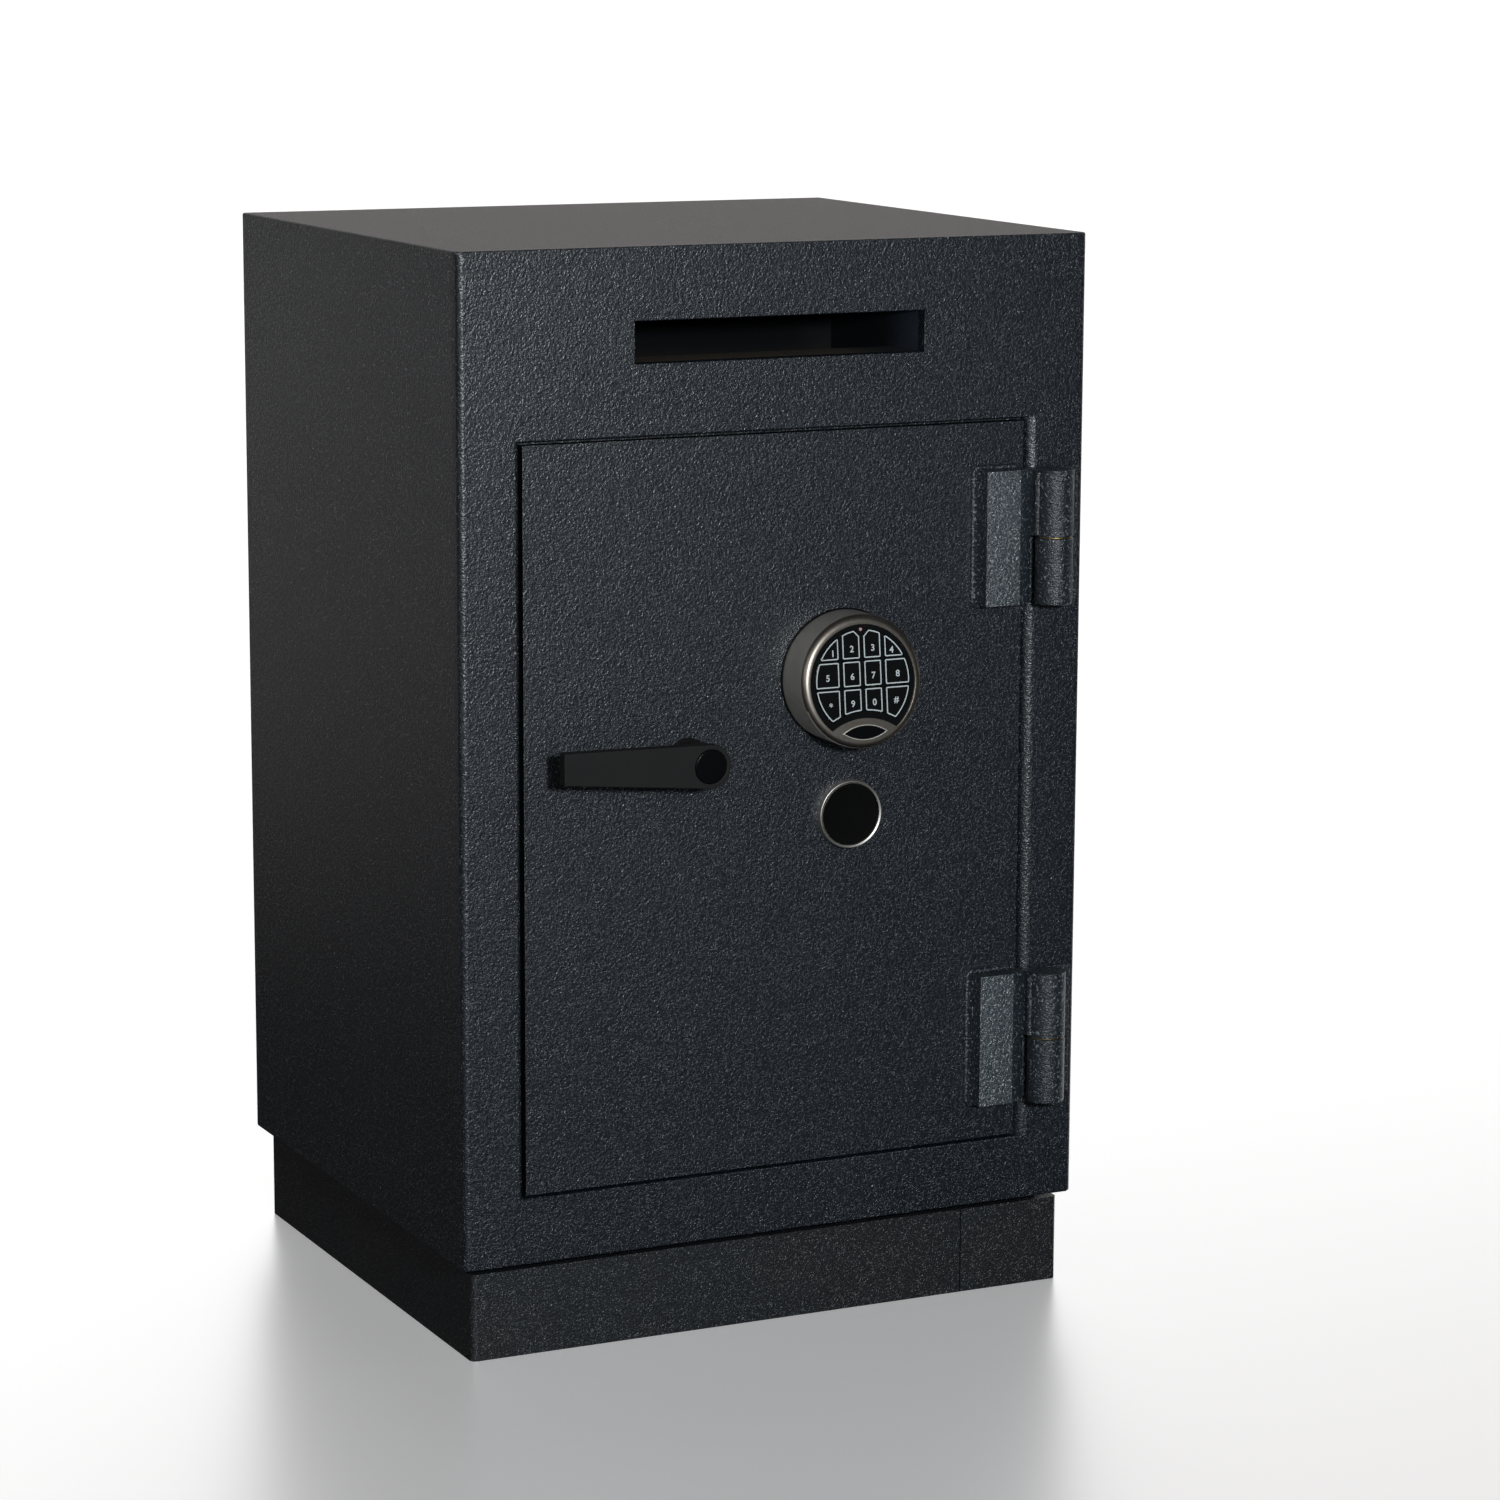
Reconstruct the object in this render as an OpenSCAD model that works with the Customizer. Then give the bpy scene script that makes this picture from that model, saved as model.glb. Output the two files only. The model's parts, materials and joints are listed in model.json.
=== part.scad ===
// Drop safe: double-walled body with a deposit slot, hinged door with a lever handle,
// round keypad and boltwork, on a plinth. Millimetres.
// X runs to the right, Y to the back and Z up. The origin is the middle of the floor
// anchor pattern, on the floor. The door is closed and its bolts are withdrawn.

/* [Body] */
// Width of the body
body_w = 500; // [460:2:600]
// Depth of the body, without hinges and handle
body_d = 440; // [380:10:600]
// Height of the body above the plinth
body_h = 730; // [680:5:900]
// Whole thickness of a wall, from outer to inner skin
wall_t = 46; // [44:1:50]
// Thickness of the outer skin
skin_t = 4; // [3:0.5:6]
// Thickness of the inner skin
liner_t = 2; // [1:0.5:3]
// Thickness of the front plate round the door
front_t = 10; // [8:1:12]
// Rounding of the upright front edges
edge_r = 4; // [1:0.5:6]

/* [Plinth] */
// Height of the plinth
plinth_h = 70; // [50:5:150]
// Thickness of the plinth's sheet
plinth_t = 3; // [2:0.5:4]
// Step from the body's side to the plinth's side
plinth_side = 8; // [2:1:30]
// Step from the body's front to the plinth's front
plinth_front = 7; // [2:1:30]
// Step from the body's back to the plinth's back
plinth_back = 16; // [2:1:30]
// Shadow gap between the body and the plinth's front lip
plinth_gap = 5; // [2:0.5:6]
// Rounding of the plinth's upright front edges
plinth_r = 5; // [3:0.5:8]
// Width of the flange round the opening in the plinth's top and floor
plinth_flange = 60; // [50:1:80]
// Distance from the body's sides to the bolts that hold the plinth
bolt_side = 50; // [40:1:56]
// Distance from the body's front and back to the same bolts
bolt_end = 60; // [56:1:64]

/* [Floor anchors] */
// Sideways distance between the anchor holes
anchor_dx = 300; // [200:10:340]
// Front to back distance between the anchor holes
anchor_dy = 240; // [160:10:260]
// Diameter of the anchor holes
anchor_d = 14; // [10:1:18]
// Wall of the tubes that line the anchor holes
sleeve_t = 4; // [2:0.5:6]

/* [Slot and chute] */
// Width of the deposit slot
slot_w = 230; // [160:5:300]
// Height of the deposit slot
slot_h = 30; // [20:1:34]
// Distance from the body's top to the middle of the slot
slot_drop = 67.5; // [66:0.5:72]
// Thickness of the chute's sheet
chute_t = 2; // [1:0.5:3]
// How far the chute's floor drops behind the slot
chute_fall = 54; // [40:1:55]
// Free depth of the chute under its hood
chute_reach = 104; // [90:1:140]
// Bend of the hood at the back of the chute
hood_r = 24; // [12:1:30]
// Number of teeth on the anti-fishing comb
comb_teeth = 15; // [5:1:25]
// Length of a tooth
tooth_h = 9; // [5:0.5:12]

/* [Door] */
// Width of the frame on the lock side of the door
frame_l = 48.3; // [46:0.1:56]
// Width of the frame on the hinge side of the door
frame_r = 51.7; // [50:0.1:56]
// Height of the frame under the door
frame_low = 51.5; // [49:0.5:60]
// Height of the frame above the door
frame_top = 136.5; // [134:0.5:160]
// Thickness of the door plate
plate_t = 10; // [8:1:11]
// Gap round the door plate
door_gap = 2.4; // [2:0.1:4]
// Gap between the back of the door plate and the ledge behind it
seal_gap = 0.7; // [0.5:0.1:1.5]
// Lap of the ledge behind the door's edge
lap = 11.5; // [10:0.5:12]
// Thickness of the jamb's steel
jamb_t = 5; // [4:0.5:6]
// Depth of the tray that holds the door's fill
tray_d = 34; // [28:1:34]
// Thickness of the tray and of the boltwork cover
tray_t = 2; // [1:0.5:3]
// Room on the lock side, for the door's swing
swing_room = 16; // [14:0.5:18]
// Room on the other three sides
side_room = 3; // [2:0.5:4]
// Depth of the boltwork space behind the tray
works_d = 38; // [37:1:44]

/* [Hinges] */
// Distance from the door's edge to the hinge axis
axis_out = 17.7; // [17.5:0.1:19]
// Radius of the knuckles
knuckle_r = 14; // [12:0.5:14.5]
// Height of a hinge
hinge_h = 100; // [70:2:130]
// Height of the lower hinge's underside above the door's lower edge
hinge_low = 28.5; // [10:0.5:60]
// Distance from the door's top to the upper hinge's top
hinge_high = 34.5; // [10:0.5:60]
// Width of the thick part of a door leaf
leaf_w = 30; // [20:1:34]
// Distance from that thick part to the door's edge
leaf_in = 8.3; // [6:0.1:10]
// Thickness of the thick part of a door leaf
leaf_t = 16; // [13:0.5:18]
// Thickness of the web from the leaf to its knuckle
web_t = 9; // [7:0.5:11]
// Leg of the weld bead along a leaf
bead = 5; // [2:0.5:7]
// Thickness of the pad under the frame's knuckle
pad_t = 3; // [2:0.5:4]
// Radius of the hinge pins
pin_r = 7; // [5:0.5:8]
// Height of the washer between two knuckles
washer_h = 1; // [0.5:0.5:2]

/* [Handle] */
// Distance from the door's lock edge to the handle's axis
handle_in = 126.7; // [122:0.1:132]
// Height of the handle's axis above the door's lower edge
handle_up = 311.5; // [300:0.5:320]
// Distance from the axis to the tip of the lever
lever_l = 113.5; // [80:0.5:118]
// Thickness of the lever
lever_t = 9; // [6:0.5:12]
// Distance from the door to the lever's face
lever_out = 42; // [30:1:55]
// Radius of the lever's round end
hub_r = 16; // [15:0.5:20]
// Height of the lever at its tip
tip_h = 23; // [14:0.5:28]
// How far the middle of the tip lies above the axis
tip_up = 6.5; // [-4:0.5:8]
// Radius of the neck between lever and door
neck_r = 14.3; // [12:0.1:15]
// Radius of the cap in the lever's round end
cap_r = 12.4; // [6:0.1:13]
// Height of the ring on the door round the neck
rose_t = 3; // [2:0.5:5]
// Radius of the spindle
spindle_r = 6; // [5:0.5:7]

/* [Boltwork] */
// Turn of the handle from open to locked, in degrees
handle_turn = 90; // [60:5:90]
// Travel of the bolts
bolt_throw = 20; // [14:1:21]
// Radius of the locking bolts
bolt_r = 11; // [8:0.5:12]
// Number of locking bolts
bolt_count = 3; // [2:1:4]
// Distance from the door's lower and upper edges to the nearest bolt
bolt_in = 81; // [70:1:100]
// Height of the lower guide post above the lowest bolt
post_low = 100.5; // [60:0.5:150]
// Distance from the highest bolt down to the upper guide post
post_high = 19.5; // [19:0.5:30]
// Radius of the drive pin on the cam disc
drive_r = 5; // [4:0.5:6]
// Room on each side of the drive pin in its slot
drive_room = 0.7; // [0.6:0.1:1]
// Radius of the cam disc
disc_r = 24; // [22:1:28]
// Travel of the lock's own bolt
lock_throw = 13; // [8:1:14]

/* [Lock] */
// Width of the lock case
lock_w = 84; // [70:1:90]
// Height of the lock case
lock_h = 61; // [50:1:70]
// Depth of the lock case
lock_d = 30; // [26:1:32]
// How far the lock case's middle lies beside the keypad's, towards the bolts
lock_shift = 8; // [4:1:8]

/* [Keypad] */
// Distance from the door's hinge edge to the keypad's middle
pad_in = 148.8; // [140:0.1:152]
// Height of the keypad's middle above the door's lower edge
pad_up = 362.8; // [355:0.1:375]
// Radius of the keypad's housing
pad_r = 48.5; // [47:0.1:52]
// Height of the housing at its middle
pad_out = 35; // [32:0.5:45]
// Upward tilt of the keypad's face, in degrees
pad_tilt = 6; // [0:0.5:8]
// Radius of the black face in the housing
face_r = 42.4; // [41:0.1:43]
// How far the black face's middle sits above the housing's middle
face_up = -0.5; // [-1:0.1:1]
// How deep the black face lies in the housing's rim
face_in = 1.2; // [0:0.1:1.5]
// Rounding of the housing's front edge
pad_edge = 5; // [2:0.5:5]
// Wall of the housing
pad_wall = 2.5; // [2:0.1:4]
// Travel of a key
key_travel = 0.8; // [0.4:0.1:1.2]
// Room round a key in its window
key_room = 0.35; // [0.3:0.05:0.5]
// How far a key stands out of the black face
key_proud = 0.6; // [0.3:0.1:1]
// Width of the badge's ellipse
badge_w = 34; // [20:1:36]
// Height of the badge's ellipse
badge_h = 9.6; // [5:0.1:10]
// Distance from the keypad's middle line down to the badge
badge_low = 35.9; // [35:0.1:37]

/* [Emergency lock] */
// Distance from the door's hinge edge to the key lock's middle
key_in = 142.8; // [138:0.1:148]
// Height of the key lock above the door's lower edge
key_up = 259.5; // [250:0.5:265]
// Outer radius of the escutcheon ring
ring_r = 25.4; // [22:0.1:28]
// Height of the escutcheon ring
ring_h = 6; // [4:0.5:8]
// Radius of the cover in the ring
cover_r = 22.8; // [16:0.1:23.5]

/* [Hidden] */
$fn = 72;
e = 1; // how far a cut runs past the face it cuts
run = 0.06; // radial room of a shaft that turns or slides in its bore
air = 0.3; // room between parts that only pass each other

// Body
in_w = body_w - 2 * wall_t;
low = plinth_h; // underside of the body
high = plinth_h + body_h;
floor_z = low + wall_t;
ceil_z = high - wall_t;
face_y = -body_d / 2;
front_back = face_y + front_t; // back of the front plate
jamb_back = face_y + wall_t; // inner face of the front wall
rear_in = body_d / 2 - wall_t;
plinth_bolt_r = 5;
bolt_head = 7; // height of a plinth bolt's head
bolt_grip = 25; // how far a plinth bolt reaches into the body's floor

// Door plate, the opening round it (a) and the narrower one behind it (b)
door_l = frame_l - body_w / 2;
door_r = body_w / 2 - frame_r;
door_b = low + frame_low;
door_t = high - frame_top;
plate_back = face_y + plate_t;
ledge_y = plate_back + seal_gap;
a_lo = [door_l - door_gap, door_b - door_gap];
a_hi = [door_r + door_gap, door_t + door_gap];
b_lo = [door_l + lap, door_b + lap];
b_hi = [door_r - lap, door_t - lap];

// Door's rear body
rear_lo = [b_lo[0] + swing_room, b_lo[1] + side_room];
rear_hi = [b_hi[0] - side_room, b_hi[1] - side_room];
tray_back = plate_back + tray_d;
works_back = tray_back + works_d;

// Slot and chute
slot_lo = high - slot_drop - slot_h / 2;
slot_hi = slot_lo + slot_h;
chute_low = slot_lo - chute_fall;
chute_back = jamb_back + chute_reach;
chute_level = 2; // the chute's floor stays level this far behind the wall
hood_low = 16; // height of the hood's lower edge above the chute's lowest edge
comb_t = 2; // thickness of the comb and its room to the chute's cheeks
comb_h = 12; // height of the strip above the teeth

// Hinges
axis_x = door_r + axis_out;
axis_y = face_y - pad_t - air - knuckle_r;
leaf_l = door_r - leaf_in - leaf_w;
half_h = (hinge_h - washer_h) / 2; // height of one knuckle
pad_w = 28; // from the hinge axis to the right edge of the pad on the frame
pin_low = 4; // steel left under a pin in the lower knuckle
hinge_z = [door_b + hinge_low, door_t - hinge_high - hinge_h];

// Handle and boltwork
handle_x = door_l + handle_in;
handle_z = door_b + handle_up;
lever_face = face_y - lever_out;
crank_r = bolt_throw / (2 * sin(handle_turn / 2));
keeper_t = 3.5;
bolt_y = jamb_back + keeper_t + 0.5 + bolt_r;
bolt_tip = b_lo[0] + 11.2;
bar_w = 16;
bar_t = 16; // depth of the carriage bar
bar_end = 16; // how far the bar runs past the last bolts
bar_x = handle_x - disc_r - 9.5 - bar_w; // left face of the carriage bar
bolt_step = (door_t - door_b - 2 * bolt_in) / (bolt_count - 1);
bolt_z = [for (i = [0:bolt_count - 1]) door_b + bolt_in + i * bolt_step];
arm_t = 6; // thickness of the carriage's arms
arm_y = works_back - tray_t - 6 - arm_t;
disc_t = 7;
disc_y = arm_y - 1 - disc_t;
guide_t = 10; // thickness of the bolt guide
post_r = 4; // radius of the posts that the carriage slides along
post_x = handle_x + 22;
post_z = [bolt_z[0] + post_low, bolt_z[bolt_count - 1] - post_high];
arm_h = 24; // height of the arms at the posts
works_in = 30; // distance from the door body's lower and upper faces to the boltwork
dog_w = 30; // width of the dog bar's foot on the tray
dog_in = 6; // distance from the foot to the door body's hinge side
dog_t = 12; // depth of the dog bar
dog_end = 21.5; // distance from the hinge axis to the dog bar's free edge
screw_l = 20; // length of a screw in the boltwork cover

// Lock and keypad
pad_x = door_r - pad_in;
pad_z = door_b + pad_up;
lock_l = pad_x - lock_w / 2 - lock_shift;
lock_b = pad_z - lock_h / 2;
lock_y = tray_back;
lock_bolt_z = pad_z;
lock_bolt_h = 24;
lock_bolt_t = 8;
lock_bolt_l = lock_throw + 27;
cable_r = 2.5;
battery_w = 48;
base_t = 2; // thickness of the ring under the housing
base_r = pad_r + 1;
face_t = 2;
board_t = 1.6;
board_back = 5.2; // depth of the board's front under the black face
key_stack = 4.4; // height of a key below the black face

// Key pattern, about the middle of the black face
key_ring = 38.1; // outer keys end on this radius
key_lift = 0.9; // its centre lies this much above the face's middle
arc_r = 46; // radius of the silver crescent's upper edge
arc_z = -71.6; // its centre
key_arc = 51; // lower keys end on this radius about the same centre
key_cols = [-42, -17.2, 0, 16.9, 42];
key_rows = [-40, -3.3, 16.8, 39.8];
key_gap = 2.6; // between two keys side by side
key_row_gap = 1.2; // between two keys one above the other
lamp_up = 38.7; // the lamp's middle
lamp_free = 6; // keys keep clear of a diamond of this half width about the lamp
KEYS = ["key_star", "key_9", "key_0", "key_hash",
        "key_5", "key_6", "key_7", "key_8",
        "key_1", "key_2", "key_3", "key_4"];

// Emergency lock
lockkey_x = door_r - key_in;
lockkey_z = door_b + key_up;
barrel_r = 11;

paint = "#2c3439";
dark = "#17191b";
steel = "#9a9c9d";
satin = "#9c9186";
stone = "#8d8a84";

// A box from its low corner to its high corner
module block(lo, hi) {
  translate(lo) cube(hi - lo);
}

// A cylinder along Y, from y0 to y1, round the point x, z
module rod_y(x, z, r, y0, y1) {
  translate([x, y1, z]) rotate([90, 0, 0]) cylinder(h = y1 - y0, r = r);
}

// A cylinder along X, from x0 to x1, round the point y, z
module rod_x(y, z, r, x0, x1) {
  translate([x0, y, z]) rotate([0, 90, 0]) cylinder(h = x1 - x0, r = r);
}

// An outline drawn in X and Z, given a thickness from y0 to y1
module slab_y(y0, y1) {
  translate([0, y1, 0]) rotate([90, 0, 0]) linear_extrude(y1 - y0) children();
}

// An outline drawn in Y and Z, given a width from x0 to x1
module slab_x(x0, x1) {
  translate([x0, 0, 0]) rotate([90, 0, 90]) linear_extrude(x1 - x0) children();
}

// A rectangle whose two front corners are rounded; its front lies on Y = 0
module rounded_front(w, d, r) {
  translate([-w / 2, r]) square([w, d - r]);
  translate([-w / 2 + r, 0]) square([w - 2 * r, d]);
  for (s = [-1, 1]) translate([s * (w / 2 - r), r]) circle(r);
}

module at_anchors() {
  for (sx = [-1, 1], sy = [-1, 1]) translate([sx * anchor_dx / 2, sy * anchor_dy / 2, 0]) children();
}

module at_plinth_bolts() {
  for (sx = [-1, 1], sy = [-1, 1])
    translate([sx * (body_w / 2 - bolt_side), sy * (body_d / 2 - bolt_end), 0]) children();
}

// Body

module outer_shell() {
  color(paint) difference() {
    block([-body_w / 2, front_back, low], [body_w / 2, body_d / 2, high]);
    block([-body_w / 2 + skin_t, front_back - e, low + skin_t],
          [body_w / 2 - skin_t, body_d / 2 - skin_t, high - skin_t]);
    at_anchors() translate([0, 0, low - e]) cylinder(h = skin_t + 2 * e, r = anchor_d / 2 + sleeve_t);
    at_plinth_bolts() translate([0, 0, low - e]) cylinder(h = skin_t + 2 * e, r = plinth_bolt_r);
  }
}

module front_frame() {
  color(paint) difference() {
    union() {
      translate([0, face_y, low]) linear_extrude(body_h) rounded_front(body_w, front_t, edge_r);
      block([a_lo[0] - jamb_t, front_back - e, a_lo[1] - jamb_t],
            [a_hi[0] + jamb_t, ledge_y + jamb_t, a_hi[1] + jamb_t]);
      block([b_lo[0] - jamb_t, ledge_y, b_lo[1] - jamb_t], [b_hi[0] + jamb_t, jamb_back, b_hi[1] + jamb_t]);
      block([-in_w / 2 - liner_t, jamb_back - jamb_t, floor_z - liner_t],
            [in_w / 2 + liner_t, jamb_back, ceil_z + liner_t]);
    }
    block([a_lo[0], face_y - e, a_lo[1]], [a_hi[0], ledge_y, a_hi[1]]);
    block([b_lo[0], face_y - e, b_lo[1]], [b_hi[0], jamb_back + e, b_hi[1]]);
    block([-slot_w / 2, face_y - e, slot_lo], [slot_w / 2, front_back + e, slot_hi]);
    chute_passage();
  }
}

// The way of the chute through the front wall, as wide as its outside
module chute_passage() {
  block([-slot_w / 2 - chute_t, front_back, slot_lo - chute_t],
        [slot_w / 2 + chute_t, jamb_back + e, slot_hi + chute_t]);
}

module frame_fill() {
  color(stone) difference() {
    block([-body_w / 2 + skin_t, front_back, low + skin_t],
          [body_w / 2 - skin_t, jamb_back - jamb_t, high - skin_t]);
    block([a_lo[0] - jamb_t, front_back - e, a_lo[1] - jamb_t],
          [a_hi[0] + jamb_t, ledge_y + jamb_t, a_hi[1] + jamb_t]);
    block([b_lo[0] - jamb_t, ledge_y, b_lo[1] - jamb_t], [b_hi[0] + jamb_t, jamb_back, b_hi[1] + jamb_t]);
    translate([0, -e, 0]) chute_passage();
  }
}

module barrier_fill() {
  color(stone) difference() {
    block([-body_w / 2 + skin_t, jamb_back - jamb_t, low + skin_t],
          [body_w / 2 - skin_t, body_d / 2 - skin_t, high - skin_t]);
    block([-in_w / 2 - liner_t, jamb_back - jamb_t - e, floor_z - liner_t],
          [in_w / 2 + liner_t, rear_in + liner_t, ceil_z + liner_t]);
    at_anchors() translate([0, 0, low]) cylinder(h = wall_t, r = anchor_d / 2 + sleeve_t);
    at_plinth_bolts() translate([0, 0, low]) cylinder(h = bolt_grip, r = plinth_bolt_r);
  }
}

module inner_liner() {
  color(paint) difference() {
    block([-in_w / 2 - liner_t, jamb_back, floor_z - liner_t],
          [in_w / 2 + liner_t, rear_in + liner_t, ceil_z + liner_t]);
    block([-in_w / 2, jamb_back - e, floor_z], [in_w / 2, rear_in, ceil_z]);
    at_anchors() translate([0, 0, floor_z - liner_t - e]) cylinder(h = liner_t + 2 * e, r = anchor_d / 2);
  }
}

// Plinth: a folded sheet box under the body, with a shadow gap at the front
module plinth_frame() {
  pl_w = body_w - 2 * plinth_side;
  pl_y = face_y + plinth_front;
  pl_d = body_d - plinth_front - plinth_back;
  color(paint) difference() {
    union() {
      translate([0, pl_y, 0]) linear_extrude(plinth_h - plinth_gap) rounded_front(pl_w, pl_d, plinth_r);
      block([-pl_w / 2 + 12, pl_y + 12, plinth_h - plinth_gap - e], [pl_w / 2 - 12, pl_y + pl_d, plinth_h]);
    }
    block([-pl_w / 2 + plinth_t, pl_y + plinth_t, plinth_t],
          [pl_w / 2 - plinth_t, pl_y + pl_d - plinth_t, plinth_h - plinth_gap - plinth_t]);
    block([-pl_w / 2 + plinth_flange, pl_y + plinth_flange, plinth_t],
          [pl_w / 2 - plinth_flange, pl_y + pl_d - plinth_flange, plinth_h + e]);
    at_anchors() translate([0, 0, -e]) cylinder(h = plinth_t + 2 * e, r = anchor_d / 2);
    at_plinth_bolts() translate([0, 0, plinth_h - 20]) cylinder(h = 30, r = plinth_bolt_r);
  }
}

module anchor_sleeves() {
  color(steel) at_anchors() difference() {
    translate([0, 0, plinth_t]) cylinder(h = floor_z - liner_t - plinth_t, r = anchor_d / 2 + sleeve_t);
    translate([0, 0, plinth_t - e]) cylinder(h = floor_z, r = anchor_d / 2);
  }
}

module plinth_bolts() {
  under = plinth_h - plinth_gap - plinth_t;
  color(steel) at_plinth_bolts() {
    translate([0, 0, under - bolt_head]) cylinder(h = bolt_head, r = 9.2, $fn = 6);
    translate([0, 0, under - e]) cylinder(h = plinth_h - under + e + bolt_grip, r = plinth_bolt_r);
  }
}

// Chute: its floor runs level through the wall and then slopes down behind the door;
// its hood comes down at the back, so that nothing can be fished out.
function chute_floor() = [[front_back, slot_lo], [jamb_back + chute_level, slot_lo],
  [jamb_back + chute_level + chute_fall, chute_low]];
function chute_hood() = [[front_back, slot_hi], [chute_back - hood_r, slot_hi],
  for (a = [75:-15:0]) [chute_back - hood_r + hood_r * cos(a), slot_hi - hood_r + hood_r * sin(a)],
  [chute_back, chute_low + hood_low]];

// The unit vector to the left of the way from p to q
function left_of(p, q) = [p[1] - q[1], q[0] - p[0]] / norm(q - p);

// A line moved to its left by t, with mitred corners
function moved(line, t) = [for (i = [0:len(line) - 1])
  let (last = len(line) - 1,
       m = left_of(line[max(i - 1, 0)], line[max(i, 1)])
         + left_of(line[min(i, last - 1)], line[min(i + 1, last)]))
  line[i] + 2 * t * m / (m * m)];

module chute_sheet(line, t) {
  back = moved(line, t);
  slab_x(-slot_w / 2 - chute_t, slot_w / 2 + chute_t)
    polygon(concat(line, [for (i = [len(line) - 1:-1:0]) back[i]]));
}

module deposit_chute() {
  hood = chute_hood();
  cheek = concat(chute_floor(), [for (i = [len(hood) - 1:-1:0]) hood[i]]);
  color(paint) union() {
    slab_x(-slot_w / 2 - chute_t, -slot_w / 2) polygon(cheek);
    slab_x(slot_w / 2, slot_w / 2 + chute_t) polygon(cheek);
    chute_sheet(chute_floor(), -chute_t);
    chute_sheet(chute_hood(), chute_t);
  }
}

// A saw-toothed strip inside the hood's lower edge, its teeth pointing down
module anti_fishing_comb() {
  comb_w = slot_w - 2 * comb_t;
  pitch = comb_w / comb_teeth;
  root = chute_low + hood_low - 2;
  color(steel) slab_y(chute_back - comb_t, chute_back) polygon(concat(
    [[comb_w / 2, root + comb_h], [-comb_w / 2, root + comb_h]],
    [for (i = [0:comb_teeth - 1], k = [0, 1]) [-comb_w / 2 + (i + k / 2) * pitch, root - tooth_h * k]],
    [[comb_w / 2, root]]));
}

// Hinges

module at_hinges() {
  for (z = hinge_z) translate([0, 0, z]) children();
}

module hinge_frame_leaves() {
  pad_l = a_hi[0] + 1.9;
  color(paint) at_hinges() difference() {
    union() {
      block([pad_l, face_y - pad_t, 0], [axis_x + pad_w, face_y, hinge_h]);
      translate([axis_x, axis_y, 0]) cylinder(h = half_h, r = knuckle_r);
      block([axis_x - 8, axis_y, 0], [axis_x + 8, face_y - pad_t + e, half_h]);
    }
    translate([axis_x, axis_y, pin_low]) cylinder(h = hinge_h, r = pin_r);
  }
}

module hinge_pins() {
  color(steel) at_hinges() translate([axis_x, axis_y, pin_low])
    cylinder(h = hinge_h - 2 * pin_low - e, r = pin_r);
}

module hinge_washers() {
  color("#b08d4a") at_hinges() translate([axis_x, axis_y, half_h]) difference() {
    cylinder(h = washer_h, r = knuckle_r - 1);
    translate([0, 0, -e]) cylinder(h = washer_h + 2 * e, r = pin_r);
  }
}

module hinge_door_leaves() {
  block_r = leaf_l + leaf_w;
  web_y = face_y - web_t;
  web_end = axis_x - knuckle_r - 1.4;
  color(paint) at_hinges() difference() {
    union() {
      linear_extrude(hinge_h) polygon([
        [leaf_l - bead, face_y], [leaf_l, face_y - bead], [leaf_l, face_y - leaf_t],
        [block_r - 2, face_y - leaf_t], [web_end, web_y], [web_end, face_y]]);
      translate([0, 0, half_h + washer_h]) {
        linear_extrude(half_h) polygon([
          [web_end - 0.4, web_y], [web_end + 0.6, web_y - 3], [axis_x - knuckle_r + 3, axis_y - 5],
          [axis_x, axis_y], [axis_x - 2, axis_y + knuckle_r - 0.5],
          [web_end - 1, axis_y + knuckle_r - 0.5], [web_end - 5, web_y + 2]]);
        translate([axis_x, axis_y, 0]) cylinder(h = half_h, r = knuckle_r);
      }
    }
    translate([axis_x, axis_y, half_h]) cylinder(h = half_h + washer_h - pin_low, r = pin_r + run);
  }
}

module bolt_keepers() {
  color(steel) for (z = bolt_z)
    block([-in_w / 2, jamb_back, z - 24], [b_lo[0] - 1, jamb_back + keeper_t, z + 24]);
}

// Door

module door_bores(y0, y1) {
  rod_y(handle_x, handle_z, 10, y0, y1);
  rod_y(pad_x, pad_z, 4, y0, y1);
  rod_y(lockkey_x, lockkey_z, barrel_r, y0, y1);
}

module door_plate() {
  color(paint) difference() {
    block([door_l, face_y, door_b], [door_r, plate_back, door_t]);
    door_bores(face_y - e, plate_back + e);
  }
}

module door_tray() {
  color(paint) difference() {
    block([rear_lo[0], plate_back, rear_lo[1]], [rear_hi[0], tray_back, rear_hi[1]]);
    block([rear_lo[0] + tray_t, plate_back - e, rear_lo[1] + tray_t],
          [rear_hi[0] - tray_t, tray_back - tray_t, rear_hi[1] - tray_t]);
    door_bores(tray_back - tray_t - e, tray_back + e);
  }
}

module door_fill() {
  color(stone) difference() {
    block([rear_lo[0] + tray_t, plate_back, rear_lo[1] + tray_t],
          [rear_hi[0] - tray_t, tray_back - tray_t, rear_hi[1] - tray_t]);
    door_bores(plate_back - e, tray_back);
  }
}

// The fixed bar that locks behind the frame on the hinge side
module dog_bar() {
  y = max(tray_back, jamb_back + 4.5);
  color(steel) {
    block([rear_hi[0] - dog_w, tray_back, rear_lo[1] + works_in],
          [rear_hi[0] - dog_in, y + dog_t, rear_hi[1] - works_in]);
    block([rear_hi[0] - dog_in - e, y, rear_lo[1] + works_in],
          [axis_x - dog_end, y + dog_t, rear_hi[1] - works_in]);
  }
}

module bolt_guide() {
  x = rear_lo[0];
  color(steel) difference() {
    block([x, tray_back, rear_lo[1] + works_in],
          [x + guide_t, works_back - tray_t, rear_hi[1] - works_in]);
    for (z = bolt_z) rod_x(bolt_y, z, bolt_r + run, x - e, x + guide_t + e);
  }
}

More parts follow.
